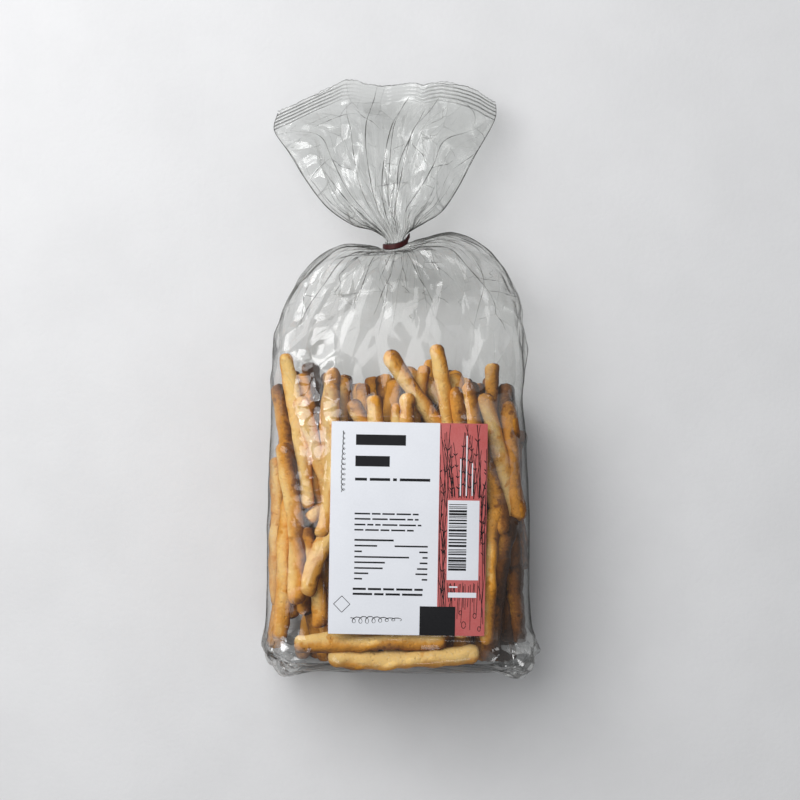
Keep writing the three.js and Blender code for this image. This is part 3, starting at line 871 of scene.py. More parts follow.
def film_finish(name, settings, facet_shade):
    """Clear film: see-through and glossy by Fresnel, crumpled into small flat facets, with painted shade that
    greys some facets, grey painted shade along creases, dark painted shade where it is seen edge-on,
    painted white highlights on some facets, and a little milkiness where it is gathered."""
    m = Finish(name)
    gather, slack, spread, seal, crush = map(m.value, ("gather", "slack", "spread", "seal", "crush"))
    size = settings.facet / MM
    squares = []
    for shift, turn in (((0.3, 0.1, 0), 0.0), ((7.7, 3.9, 0), 0.7)):
        place = m.place((size, size * 1.9, size), "flat_film", turn, shift)
        near = m.cells(place)
        squares.append(near * near)
    tone = m.beside(near, 1)
    edge = m.cells(place, "DISTANCE_TO_EDGE")
    near = m.cells(m.place((size * 0.55, size * 0.4, size), "flat_film", 0.4, (3.1, 0.7, 0)))
    chip = m.beside(near, 1)
    streak = m.film_noise((7.0, 90.0, 1), 1.0, 0.2)
    some = m.film_noise((24, 34, 1), 2.0)
    rib = m.add("ShaderNodeTexWave", {"wave_type": "BANDS", "bands_direction": "Y"}, out=1,
                Vector=m.place((1, settings.rib / MM, 1), "flat_film"), Scale=TURN / 20, Distortion=0.0)
    # Masks of thin creases over loose film and of pleats out of the neck, where grey painted shade goes.
    crease = (1.0 - edge * 40.0).clamp() * some.over(0.45, 0.62) * slack * 0.6
    pleat = (1.0 - abs(streak - 0.5) * 60.0).clamp() * gather
    crease = crease.most(pleat * 0.45)
    facet = squares[0] - squares[1]
    height = facet * (slack * spread * size * settings.facet_slope) + streak * (gather * gather * 0.5)
    bump = m.bump(height + near * near * (crush * size * 0.3), 1.0)

    def blend(share, first, second):
        return m.add("ShaderNodeMixShader", at_0=share, at_1=first, at_2=second)

    def flat(shader, red, green, blue, **inputs):
        return m.add(shader, Color=(red, green, blue, 1), **inputs)

    clear = flat("ShaderNodeBsdfTransparent", *settings.tint)
    # Painted shade: some facets are made greyer, standing for the darker surroundings they would reflect.
    greyer = flat("ShaderNodeBsdfTransparent", 0.80, 0.81, 0.79)
    film = blend(tone.over(0.35, 0.75) * slack * facet_shade, clear, greyer)
    # Painted shade: film seen edge-on and dark chips of crushed film turn dark grey, as at the bag's edges.
    rim = m.add("ShaderNodeLayerWeight", out=1, Blend=0.5, Normal=bump)
    edge_on_shade = (rim ** 3.8) * settings.rim + crush * chip.over(0.55, 0.45) * 0.2
    film = blend(edge_on_shade, film, flat("ShaderNodeBsdfDiffuse", 0.05, 0.048, 0.042))
    # Painted grey shade along creases and the seal's ribs, and a little milkiness where the film is gathered.
    haze_and_painted_light = crease * settings.crease + rib.over(0.5, 0.95) * seal * 0.35 + gather * settings.gathered_haze
    film = blend(haze_and_painted_light.clamp(), film, flat("ShaderNodeBsdfDiffuse", 0.22, 0.225, 0.215, Roughness=0.4))
    # Painted highlight: some facets and chips of crushed film are mixed towards white, as if catching light.
    glint = tone.over(0.62, 0.66) * slack * settings.haze_and_painted_light + crush * chip.over(0.56, 0.66) * 0.3
    film = blend(glint.clamp(), film, flat("ShaderNodeBsdfDiffuse", 0.82, 0.83, 0.82))
    inside = m.add("ShaderNodeNewGeometry", out=6)
    shine = m.add("ShaderNodeFresnel", IOR=1.5, Normal=bump) * settings.shine * (1.0 - inside * 0.6)
    shine = shine.least(settings.most_shine) + crush * 0.1
    gloss = flat("ShaderNodeBsdfGlossy", 1, 1, 1, Roughness=settings.roughness, Normal=bump)
    return m.end(blend(shine, film, gloss))


def fold_finish():
    """The ridge of a sharp fold in the film: two thin layers seen edge-on, with painted grey shade
    and a glossy flank.
    """
    m = Finish("film_fold")
    clear = m.add("ShaderNodeBsdfTransparent", Color=(0.95, 0.95, 0.945, 1))
    # Painted shade: the ridge's dark grey stands for the dark line that a fold in clear film shows.
    ridge = m.add("ShaderNodeBsdfPrincipled", Base_Color=(0.075, 0.076, 0.07, 1), Roughness=0.22,
                  Specular_IOR_Level=0.8)
    broken = m.noise((5, 5, 5)).over(0.3, 0.6)
    depth = (m.value("depth") * (0.35 + broken * 0.65)).clamp()
    return m.end(m.add("ShaderNodeMixShader", at_0=depth, at_1=clear, at_2=ridge))


def on_film(points, rows, columns):
    """Points of the film's grid at fractional rows and columns, by bilinear interpolation."""
    k = np.clip(rows.astype(int), 0, len(points) - 2)
    n = np.floor(columns).astype(int)
    a, b, wide = (rows - k)[..., None], (columns - n)[..., None], points.shape[1]
    low = points[k, n % wide] * (1 - b) + points[k, (n + 1) % wide] * b
    high = points[k + 1, n % wide] * (1 - b) + points[k + 1, (n + 1) % wide] * b
    return low * (1 - a) + high * a


def fold_lines(points, table, seed, fine, stray, stations=36):
    """Places of folds in the film's grid, with their half width and the depth of their painted grey shade.

    A row of the table gives x and y of both ends on the upper side; both are looked up in the grid and
    the fold runs straight between them in it, as it does in flat film, with a small wander. fine adds
    short ones out of the neck: their number, the row they start from, the way and length in rows. stray
    is how many cross the loose film in any direction.
    """
    random = np.random.default_rng(seed)
    quarter = points.shape[1] // 4
    upper = points[:, quarter : 3 * quarter + 1, :2]
    last = len(points) - 2
    ends = []
    for x0, y0, x1, y1, height, *_ in table:
        pair = []
        for end in ((x0, y0), (x1, y1)):
            row, column = np.unravel_index(((upper - end) ** 2).sum(-1).argmin(), upper.shape[:2])
            pair += [row, column + quarter]
        ends.append((*pair, height))
    count, start, way, long = fine
    for _ in range(count):
        column, length = random.uniform(0, points.shape[1]), way * long * (0.15 + random.exponential(0.4))
        begin = start + way * random.uniform(0, 0.1) * long
        finish = np.clip(begin + length, 1, last)
        ends.append((begin, column, finish, column + random.normal() * 5, random.uniform(0.2, 0.7)))
    for _ in range(stray):
        row = start + way * random.uniform(0.1, 2.2) * long
        column = quarter + random.uniform(0.04, 1.96) * quarter
        turn, run = random.uniform(0, TURN), random.uniform(4, 15)
        finish = np.clip(row + run * math.sin(turn), 1, last)
        ends.append((np.clip(row, 1, last), column, finish, column + run * math.cos(turn),
                     random.uniform(0.15, 0.7)))
    r0, c0, r1, c1, height = np.array(ends).T[..., None]
    share = np.linspace(0, 1, stations)[None]
    swing = random.normal(0, 1.2, (len(ends), 1)) * (1 + np.sin(share * 9 + c0))
    fade = np.sin(share * math.pi) ** 0.5 * (0.7 + 0.3 * np.sin(share * 23 + c1))
    strong = np.minimum(np.abs(height), 1.6)
    return (r0 + (r1 - r0) * share, c0 + (c1 - c0) * share + np.sin(share * math.pi) * swing,
            (0.09 + 0.1 * strong) * (0.35 + 0.65 * fade), np.minimum(strong * 0.75, 1) * fade)


def add_folds(name, points, parts):
    """Adds folds of the film as closed four-sided ridges of painted grey shade along lines over its grid."""
    parts = [[np.broadcast_to(field, part[0].shape) for field in part] for part in parts]
    rows, columns, half, depth = (np.concatenate(fields) for fields in zip(*parts))
    middle = on_film(points, rows, columns)
    run = np.gradient(middle, axis=1)
    run /= np.maximum(np.linalg.norm(run, axis=-1, keepdims=True), 1e-9)
    side = np.cross(run, [0.0, 0.0, 1.0])
    side /= np.maximum(np.linalg.norm(side, axis=-1, keepdims=True), 1e-3)
    up = np.cross(side, run)
    around = ((1, 0), (0, 0.7), (-1, 0), (0, -0.7))
    ridge = np.stack([middle + (side * a + up * b) * half[..., None] for a, b in around], axis=2)
    ridge[..., 2] = np.maximum(ridge[..., 2], 0.05)
    add_piece(name, "film", ridge.reshape(-1, 3), tube_faces(*rows.shape, len(around), -1), fold_finish(),
              values={"depth": np.repeat(depth.ravel(), len(around))}, replaces=("bag",))


# The label


def label_points(s, t, height):
    """Points over the label: s across from its left edge, t up from its foot, height over the film."""
    u, v = s - LABEL["width"] / 2, t - LABEL["height"] / 2
    cos, sin = math.cos(LABEL["turn"]), math.sin(LABEL["turn"])
    x, y = LABEL["middle"][0] + u * cos - v * sin, LABEL["middle"][1] + u * sin + v * cos
    return np.stack([x, y, top_height(x, y) + height], axis=-1)


def label_field(left, right, foot, head, low, high, step=2.5):
    """A closed plate over a rectangle of the label, between two heights over the film."""
    columns, rows = max(2, int((right - left) / step) + 1), max(2, int((head - foot) / step) + 1)
    s, t = np.meshgrid(np.linspace(left, right, columns), np.linspace(foot, head, rows))
    points = np.concatenate([label_points(s, t, h).reshape(-1, 3) for h in (low, high)])
    k = np.arange(rows * columns).reshape(rows, columns)
    top = k + rows * columns
    quads = [np.stack([top[:-1, :-1], top[:-1, 1:], top[1:, 1:], top[1:, :-1]], -1).reshape(-1, 4),
             np.stack([k[:-1, :-1], k[1:, :-1], k[1:, 1:], k[:-1, 1:]], -1).reshape(-1, 4)]
    for lower, upper in ((k[0], top[0]), (k[:, -1], top[:, -1]), (k[-1][::-1], top[-1][::-1]),
                         (k[::-1, 0], top[::-1, 0])):
        quads.append(np.stack([lower[:-1], lower[1:], upper[1:], upper[:-1]], -1))
    return points, quads


def label_lines(middle, width, low, high):
    """Closed flat lines on the label, many at once: middle is lines by stations by s and t, and the two
    sides lie half the width to either side of it, square to its run."""
    run = np.gradient(middle, axis=1)
    run /= np.maximum(np.linalg.norm(run, axis=-1, keepdims=True), 1e-9)
    side = np.stack([-run[..., 1], run[..., 0]], -1) * (width / 2)[..., None]
    ring = [label_points(*np.moveaxis(middle + side * sign, -1, 0), h)
            for sign, h in ((-1, high), (1, high), (1, low), (-1, low))]
    return np.stack(ring, axis=2).reshape(-1, 3), tube_faces(*middle.shape[:2], len(ring), -1)


def bars(rows, stations=14):
    """Straight lines from rows of s0, t0, s1, t1, width."""
    rows = np.array(rows, float)
    share = np.linspace(0, 1, stations)[None, :, None]
    middle = rows[:, None, 0:2] + (rows[:, None, 2:4] - rows[:, None, 0:2]) * share
    return middle, np.repeat(rows[:, 4:5], stations, axis=1)


def joined(parts):
    """Several sets of points and faces as one."""
    points, faces, start = [], [], 0
    for some, blocks in parts:
        points.append(some)
        faces += [block + start for block in blocks]
        start += len(some)
    return np.concatenate(points), faces


# Settings


def metres(name, description, default):
    """A setting in metres."""
    return FloatProperty(name=name, description=description, default=default, unit="LENGTH")


def factor(name, description, default, **limits):
    """A setting without a unit."""
    return FloatProperty(name=name, description=description, default=default, subtype="FACTOR", **limits)


def paint(name, description, default):
    """A colour setting."""
    return FloatVectorProperty(name=name, description=description, default=default, subtype="COLOR")


class StickSettings(bpy.types.PropertyGroup):
    """Sizes and colours of the breadsticks."""

    count: IntProperty(name="Count", description="Sticks in the bag", default=118, min=50, max=160)
    seed: IntProperty(name="Seed", description="Draws the hidden sticks' places", default=11)
    diameter: metres("Diameter", "Of a usual stick", 0.0082)
    length: metres("Length", "Of a usual stick", 0.073)
    proud: metres("Proud", "How far a stick pushes the film out", 0.0012)
    pale: paint("Pale", "Least baked crust", (0.96, 0.625, 0.215))
    golden: paint("Golden", "Well baked crust", (0.75, 0.32, 0.034))
    brown: paint("Brown", "Most baked crust", (0.25, 0.085, 0.010))


class FilmSettings(bpy.types.PropertyGroup):
    """Sizes and looks of the clear film."""

    gap: metres("Gap", "Between film and sticks", 0.0003)
    sag: metres("Sag", "How far the film sinks between sticks", 0.0009)
    crumple: factor("Crumple", "Height of all folds against the usual", 1.0, soft_max=2)
    facet: metres("Facet", "Size of the small facets", 0.013)
    facet_slope: factor("Facet slope", "Steepness of the small facets", 0.28)
    rib: metres("Rib", "From one rib of the seal to the next", 0.0018)
    tint: paint("Tint", "What one layer lets through", (0.976, 0.98, 0.973))
    # Darkness of the painted shade along the thin creases.
    crease: factor("Crease", "Darkness of the thin creases", 0.5)
    # Darkness of the painted shade on film seen edge-on.
    rim: factor("Rim", "Darkness of film seen edge-on", 0.85)
    # Whiteness of the painted highlight on some of the facets.
    haze_and_painted_light: factor("Painted glint", "Whiteness of the facets that catch the light", 0.1)
    # Strength of the painted shade that makes some facets greyer.
    facet_shade: factor("Patchy", "How much facets differ in what they let through", 0.3)
    gathered_haze: factor("Gathered haze", "Milkiness added where film is gathered", 0.02)
    roughness: factor("Roughness", "Of the film's gloss", 0.1)
    shine: factor("Shine", "Strength of the film's two faces together", 1.2, soft_max=4)
    most_shine: factor("Most shine", "Share that film seen edge-on throws back", 0.12)


class LabelSettings(bpy.types.PropertyGroup):
    """Sizes and colours of the printed label."""

    paper: paint("Paper", "Bare paper", (0.80, 0.82, 0.87))
    strip: paint("Strip", "Coloured strip", (0.54, 0.105, 0.10))
    ink: paint("Ink", "Dark print", (0.012, 0.012, 0.014))
    thick: metres("Thickness", "Of the sheet", 0.0002)


class TieSettings(bpy.types.PropertyGroup):
    """Sizes and colour of the tie."""

    color: paint("Colour", "Of the band", (0.06, 0.004, 0.005))
    width: metres("Width", "Of the band", 0.0029)


class StageSettings(bpy.types.PropertyGroup):
    """Camera, table and lamps."""

    distance: metres("Distance", "Camera above the bag's middle", 1.5)
    span: metres("Span", "Width of the view at the bag's middle", 0.388)
    table: paint("Table", "Colour of the table", (0.80, 0.80, 0.81))
    key: FloatProperty(name="Key", description="Strength of the large lamp", default=15.9, unit="POWER")


class BagSettings(bpy.types.PropertyGroup):
    """All settings of the bag."""

    sticks: PointerProperty(type=StickSettings)
    film: PointerProperty(type=FilmSettings)
    label: PointerProperty(type=LabelSettings)
    tie: PointerProperty(type=TieSettings)
    stage: PointerProperty(type=StageSettings)


# Operators


class BAG_OT_stage(bpy.types.Operator):
    """Add the table, the lamps and the camera that looks straight down"""

    bl_idname = "bag.add_stage"
    bl_label = "Stage"

    def execute(self, context):
        settings = context.scene.breadstick_bag.stage
        context.scene.view_settings.view_transform = "Standard"
        camera = bpy.data.objects.new("view_from_above", bpy.data.cameras.new("view_from_above"))
        camera.location = (0.0006, -0.0114, settings.distance + 0.03)
        camera.data.lens = camera.data.sensor_width * settings.distance / settings.span
        camera.data.clip_start = 0.01
        context.collection.objects.link(camera)
        context.scene.camera = camera

        mesh = bpy.data.meshes.new("table")
        corners = np.array([(-1, -1, 0), (1, -1, 0), (1, 1, 0), (-1, 1, 0)]) * TABLE_SIDE / 2
        mesh.from_pydata(corners.tolist(), [], [(0, 1, 2, 3)])
        table = bpy.data.objects.new("table", mesh)
        context.collection.objects.link(table)
        m = Finish("matt_table")
        cloud = m.noise((60, 60, 60), 5.0, 0.6)
        speck = m.noise((2.2, 2.2, 2.2), 3.0, 0.6)
        low = tuple(0.955 * c for c in settings.table)
        color = m.mix(cloud.over(0.3, 0.7), low, tuple(settings.table))
        grain = m.bump(speck + cloud, 0.25, 0.5)
        mesh.materials.append(m.solid(Base_Color=color, Roughness=0.85, Normal=grain))

        for name, place, target, size, share in LAMPS:
            lamp = bpy.data.lights.new(name, "AREA")
            lamp.shape, lamp.size, lamp.energy = "DISK", size, settings.key * share
            light = bpy.data.objects.new(name, lamp)
            light.location = place
            x, y, z = np.array(target) - place
            light.rotation_euler = (math.atan2(math.hypot(x, y), -z), 0, math.atan2(-x, y))
            context.collection.objects.link(light)
        world = bpy.data.worlds.new("studio")
        context.scene.world = world
        world.use_nodes = True
        sky = world.node_tree.nodes["Background"].inputs
        sky["Color"].default_value = (0.96, 0.98, 1.0, 1)
        sky["Strength"].default_value = 0.25
        return {"FINISHED"}


def crust_finish(settings):
    """Baked crust: pale to brown by the stick's own numbers of baking and painted shade, blotched and pitted.
    """
    m = Finish("baked_crust")
    blotch = m.noise((9, 9, 9), 4.0, 0.6)
    fine = m.noise((1.3, 1.3, 1.3), 4.0, 0.7)
    pore = m.cells(m.place((2.4, 2.4, 2.4)), space="3D")
    spot = m.noise((5, 5, 5), 1.0).over(0.62, 0.74)
    level = (m.value("bake_and_shade") + (blotch - 0.5) * 1.0 + (fine - 0.5) * 0.7 + spot * 0.35).most(0.0)
    color = tuple(settings.pale)
    # The near-black last step is reached mostly where painted shade adds to baking: shaded sides and gaps.
    for low, high, darker in ((0.0, 0.55, tuple(settings.golden)), (0.5, 1.15, tuple(settings.brown)),
                              (1.05, 1.7, (0.05, 0.018, 0.005))):
        color = m.mix(level.over(low, high), color, darker)
    flour = fine.over(0.5, 0.72) * (1.0 - level.over(0.0, 0.8)) * 0.4
    color = m.mix(flour, color, (0.95, 0.85, 0.62))
    height = fine * 0.6 + blotch * 0.8 + pore.over(0.0, 0.35) * 0.35
    return m.solid(Base_Color=color, Roughness=0.5 + fine * 0.25, Specular_IOR_Level=0.3,
                   Normal=m.bump(height, 0.95))


class BAG_OT_sticks(bpy.types.Operator):
    """Add the sticks that show through the film and those that fill the bag"""

    bl_idname = "bag.add_sticks"
    bl_label = "Breadsticks"

    def execute(self, context):
        line, radius, browned_and_shaded, shown = settled_sticks()
        crust = crust_finish(context.scene.breadstick_bag.sticks)
        kinds = (("shown_sticks", shown, 56, 28, 21), ("filling_sticks", ~shown, 34, 18, 22))
        for name, who, rings, sides, seed in kinds:
            points, faces, bake_and_shade = stick_surfaces(line[who], radius[who], browned_and_shaded[who], rings, sides, seed)
            add_piece(name, "crust", points, faces, crust, values={"bake_and_shade": bake_and_shade}, replaces=("bag",))
        return {"FINISHED"}


class BAG_OT_film(bpy.types.Operator):
    """Add the body of the film, draped over the sticks and gathered at the neck"""

    bl_idname = "bag.add_film"
    bl_label = "Film body"

    def execute(self, context):
        settings = context.scene.breadstick_bag.film
        line, radius, _, _ = settled_sticks()
        rows, columns = 268, 364
        turns = columns_of(columns, upper=0.16)
        rings = ring_fields(BODY_RINGS, even_rows(BODY_RINGS, rows))
        v, u, spread = film_lengths(film_points(rings, turns, np.zeros((1, columns))))
        folds = fold_pattern(turns, v[-1] - v, 5, ((7, 0.3), (13, 0.5), (24, 0.5), (41, 0.45)), 26)
        base = film_points(rings, turns, folds)
        normals = outward(base)
        x, y, z = np.moveaxis(base, -1, 0)

        # Over the sticks: pushed out by those it touches, a little sunk between them, flat at the label.
        need = clearance(base, normals, line, radius, settings.gap / MM)
        on_label = label_inside(x, y, 3.0) * (normals[..., 2] > 0.5)
        loose = smooth_step(-16, 22, y)
        rest = -(1 - loose) * settings.sag / MM * smooth_step(-0.6, 0.2, normals[..., 2])
        film = drape(np.minimum(need, 4), rest, 0.03)
        film = film * (1 - on_label) + (LABEL_LIFT - 0.08) * on_label

        # Where it is gathered, crushed or slack, and the crumpling that goes with that.
        uu, vv = np.meshgrid(u[:-1], v)
        gather = 1 - smooth_step(3, 58, np.linalg.norm(base - NECK, axis=-1))
        corner = smooth_step(-118, -134, y) * smooth_step(38, 56, np.abs(x))
        centre = soft_patch(x, y, (2, 12), (43, 25))
        # Two patches at the sides with more crumpling, and more painted white highlights and painted chips.
        crumple_and_glare_patches = soft_patch(x, y, (-38, -22), (13, 34)) + soft_patch(x, y, (46, -22), (12, 34))
        slack = 0.14 + 0.7 * loose * (1 - 0.93 * centre) + 0.45 * crumple_and_glare_patches + corner
        slack = np.clip(slack, 0, 1) * (1 - on_label)
        crumple = facets(uu, vv, 34, 3, u[-1]) * 0.15 + facets(uu, vv, 15, 4, u[-1]) * 0.16
        crumple += facets(uu, vv, 9, 6, u[-1]) * 0.5 * corner
        folded = long_folds(x, y, SHOULDER_FOLDS) * (normals[..., 2] > 0)
        film = film + (crumple * slack * spread + folded * loose * 0.45) * settings.crumple
        film = np.where(on_label > 0.5, film, np.maximum(film, need))
        points = base + normals * film[..., None]

        # The base's two upper corners are pulled out, and nothing lies under the table.
        for side, pull in ((1, (1.4, -1.8)), (-1, (-0.6, -0.6))):
            ear = np.exp(-((x - side * 57) ** 2 + (y + 141) ** 2) / 60) * smooth_step(10, 34, z)
            points[..., :2] += ear[..., None] * pull
        points[..., 2] = np.maximum(points[..., 2], 0)

        # Base and neck are closed with a pole each.
        poles = [points[0].mean(0) + [0, 0.4, 0], points[-1].mean(0)]
        size = rows * columns
        faces = [tube_faces(1, rows, columns, -1)[0], pole_faces(columns, size),
                 pole_faces(columns, size + 1, size - columns)]
        # crush marks crushed corners and those patches: finer bumps there, and painted dark and white chips.
        crush = np.clip(corner + 0.3 * crumple_and_glare_patches * (normals[..., 2] > 0), 0, 1) * (1 - on_label)
        values = {"gather": gather, "slack": slack, "spread": spread, "seal": 0 * slack, "crush": crush}
        values = {key: [*field.ravel(), field[0, 0], field[-1, 0]] for key, field in values.items()}
        add_piece("film_body", "film", np.concatenate([points.reshape(-1, 3), poles]), faces,
                  film_finish("clear_film", settings, settings.facet_shade),
                  uv=("flat_film", tube_uv(u, v) * MM), values=values, replaces=("bag",))

        # Sharp folds, as ridges of painted grey shade: those of the shoulders, and four edges that run along
        # the bag.
        lines = fold_lines(points, SHOULDER_FOLDS, 41, (150, rows - 5, -1, 30), 64)
        quarter = columns // 4
        share = np.linspace(0, 1, 240)[None]
        places = np.array([quarter - 0.5, quarter + 2.5, 3 * quarter + 0.5, 3 * quarter - 3.5])[:, None]
        along = 12 + (rows - 18) * share + 0 * places
        places = places + 0.5 * np.sin(along / 9 + places)
        dark = np.array([0.8, 0.25, 0.6, 0.3])[:, None]
        edges = (along, places, 0.07 + 0.1 * dark, dark * (0.75 + 0.25 * np.sin(along / 7)))
        add_folds("film_body_folds", points, [lines])
        add_folds("film_body_edges", points, [edges])
        return {"FINISHED"}


class BAG_OT_mouth(bpy.types.Operator):
    """Add the flared mouth of the film with its crimped seal"""

    bl_idname = "bag.add_mouth"
    bl_label = "Film mouth"

    def execute(self, context):
        settings = context.scene.breadstick_bag.film
        rows, columns = 190, 360
        turns = columns_of(columns, sides=-0.1)
        seal = len(FAN_RINGS) - 2
        places = even_rows(FAN_RINGS, rows, weight=lambda place: np.where(place > seal - 0.05, 2.4, 1))
        rings = ring_fields(FAN_RINGS, places)
        for key in ("under", "top"):
            rings[key] = np.where(places > seal, FAN_RINGS[-1][FIELDS.index(key)], rings[key])
        v, u, spread = film_lengths(film_points(rings, turns, np.zeros((1, columns))))
        folds = fold_pattern(turns, v, 8, ((7, 0.5), (12, 0.5), (23, 0.5), (41, 0.4)), 19)
        base = film_points(rings, turns, folds)

        # The two layers crumple apart from each other where there is room, and together towards the seal.
        uu, vv = np.meshgrid(u[:-1], v)
        x, y, _ = np.moveaxis(base, -1, 0)
        share = (x - rings["left"][:, None]) / (rings["right"] - rings["left"])[:, None]
        sealed = smooth_step(seal - 0.1, seal + 0.15, places)[:, None]
        room = np.clip((rings["top"] - rings["under"])[:, None] / 14, 0.0, 1)
        crumple = facets(uu, vv, 26, 12, u[-1]) * 0.2 + facets(uu, vv, 12, 13, u[-1]) * 0.14
        points = base.copy()
        points[..., 2] += crumple * spread * room * (1 - sealed) * settings.crumple * outward(base)[..., 2]
        both_sides = facets(share * 110, vv, 28, 14) * 0.15 * smooth_step(0, 30, vv)
        both_sides = both_sides + long_folds(x, y, MOUTH_FOLDS) * 0.6 * smooth_step(0, 12, vv)
        flat = 1 - 0.95 * np.exp(-(((share - 0.49) / 0.18) ** 6))
        ribs = 0.4 * np.sin(TURN * (v - v[-1]) * MM / settings.rib)[:, None] * sealed * flat
        points[..., 2] += both_sides * settings.crumple + ribs

        # The cut edge is toothed and runs as in the photo.
        tooth = 1.5 * np.abs((u[:-1] / 2.4) % 1 - 0.5)
        tooth += 0.7 * np.sin(u[:-1] / 4.1) * np.sin(u[:-1] / 17)
        points[..., 1] += tooth[None] * smooth_step(places[-1] - 0.25, places[-1], places)[:, None]
        edge = np.interp(x[-1], *MOUTH_EDGE.T) - y[-1]
        points[..., 1] += edge[None] * smooth_step(seal - 1.2, seal, places)[:, None]
        points[..., 2] = np.maximum(points[..., 2], 0.3)

        # Upper and lower layer meet in the cut edge, which is closed from side to side.
        quarter = columns // 4
        j = np.arange(columns // 2)
        size = rows * columns
        row = size - columns
        upper, lower = quarter + j, (quarter - j) % columns
        cap = np.stack([row + upper, row + lower, row + (quarter - j - 1) % columns, row + upper + 1], -1)
        cap = [cap[1:-1], cap[:1, [0, 2, 3]], cap[-1:, [0, 1, 2]]]
        faces = [tube_faces(1, rows, columns, -1)[0], pole_faces(columns, size), *cap]
        gather = (1 - 0.75 * smooth_step(6, 60, np.linalg.norm(base - NECK, axis=-1))) * (1 - 0.8 * sealed)
        slack = (1 - 0.5 * sealed) + 0 * gather
        values = {"gather": gather, "slack": slack, "spread": spread, "seal": sealed * flat,
                  "crush": 0 * slack}
        values = {key: [*field.ravel(), field[0, 0]] for key, field in values.items()}
        add_piece("film_mouth", "film", np.concatenate([points.reshape(-1, 3), [points[0].mean(0)]]), faces,
                  film_finish("clear_film_mouth", settings, settings.facet_shade * 0.4),
                  uv=("flat_film", tube_uv(u, v, sum(part.size for part in cap)) * MM), values=values,
                  replaces=("bag",))

        # Sharp folds, as ridges of painted grey shade: those out of the neck, four along the sides, the ribs
        # of the seal and the cut edge.
        lines = fold_lines(points, MOUTH_FOLDS, 43, (84, 5, 1, 64), 40)
        share = np.linspace(0, 1, 120)[None]
        places = quarter + np.array([0.4, 6.5, 2 * quarter - 0.4, 2 * quarter - 7.0])[:, None]
        along = 8 + (rows - 12) * share * np.array([1, 0.8, 1, 0.86])[:, None]
        dark = np.array([0.8, 0.6, 0.7, 0.8])[:, None]
        edges = [(along, places, 0.08 + 0.12 * dark, dark)]
        tall = v[-1] - settings.rib / MM * (np.arange(1, 6) - 0.25)
        rib = np.interp(tall, v, np.arange(rows))[:, None] + 0 * share
        for low, high in ((1.04, 1.7), (2.24, 2.96)):
            edges.append((rib, quarter * low + quarter * (high - low) * share, 0.15,
                          0.7 * np.sin(math.pi * share) ** 0.5))
        dark = 0.5 + 0.3 * np.sin(share * 40)
        edges.append((rows - 1.2 + 0 * share, quarter * (1 + 2 * share), 0.14, dark))
        add_folds("film_mouth_folds", points, [lines])
        add_folds("film_mouth_edges", points, edges)
        return {"FINISHED"}


def paper_finish(name, color, gloss=0.45, fade=0.04, shine=0.4):
    """Coated paper or print on it: faint fibres and mottle over one colour."""
    m = Finish(name)
    fibre = m.noise((0.9, 0.9, 0.9), 4.0, 0.7)
    mottle = m.noise((14, 14, 14), 3.0)
    pale = tuple(min(1.0, c + fade) for c in color)
    shade = m.mix(fibre.over(0.35, 0.65) * 0.5 + mottle.over(0.3, 0.7) * 0.5, tuple(color), pale)
    return m.solid(Base_Color=shade, Roughness=gloss + fibre * 0.1, Specular_IOR_Level=shine,
                   Normal=m.bump(fibre + mottle * 2.0, 0.05, 0.6))


def stripe_panel():
    """Plain uneven stripes up the code panel."""
    random = np.random.default_rng(31)
    rows, t = [], 31.0
    while t < 62.2:
        thick = random.choice([0.35, 0.7, 1.05], p=[0.45, 0.35, 0.2])
        rows.append((56.4, t + thick / 2, 64.9, t + thick / 2, thick))
        t += thick + random.choice([0.35, 0.7, 1.05], p=[0.5, 0.3, 0.2])
    return bars(rows)


def strip_motifs():
    """Thin stems with paired leaves that rise up the coloured strip, and a few small ovals."""
    random = np.random.default_rng(17)
    stations = 26
    share = np.linspace(0, 1, stations)
    middles, widths = [], []
    for k in range(84):
        s0 = 52.4 + 21.2 * ((k * 0.618) % 1)
        foot = random.uniform(0.6, 60)
        head = min(foot + random.uniform(30, 62), 100.2)
        s = s0 + random.normal(0, 4.2) * share**1.6 + 0.7 * np.sin(3 * share + k)
        run = np.stack([np.clip(s, 51.9, 73.8), foot + (head - foot) * share], -1)
        on_panel = (run > (55.2, 25.6)).all(1) & (run < (71.4, 65.0)).all(1)
        run = run[~on_panel]
        for part in np.split(run, np.nonzero(np.diff(run[:, 1]) > 6)[0] + 1):
            if len(part) < 4:
                continue
            at = np.linspace(0, len(part) - 1, stations)
            line = np.stack([np.interp(at, np.arange(len(part)), part[:, n]) for n in (0, 1)], -1)
            middles.append(line)
            widths.append(np.full(stations, 0.27))
            leafy = k % 4 == 0 and np.ptp(line[:, 1]) > 24
            for place in range(4, stations - 2, 5) if leafy else ():
                for side in (-1, 1):
                    way = np.array([side * 0.62, 0.78]) * random.uniform(1.3, 2.4)
                    leaf = line[place] + way * share[:, None]
                    if 51.8 < leaf[-1, 0] < 74.0 and leaf[-1, 1] < 100.4:
                        middles.append(leaf)
                        widths.append(0.06 + 0.42 * np.sin(math.pi * share) ** 0.8)
    for s, t, size in ((64.2, 5.2, 1.6), (69.4, 9.6, 1.2), (62.6, 11.0, 1.0), (71.6, 3.4, 1.1)):
        around = share * TURN * 0.97
        middles.append(np.stack([s + size * 0.62 * np.cos(around), t + size * np.sin(around)], -1))
        widths.append(np.full(stations, 0.3))
    return np.array(middles), np.array(widths)


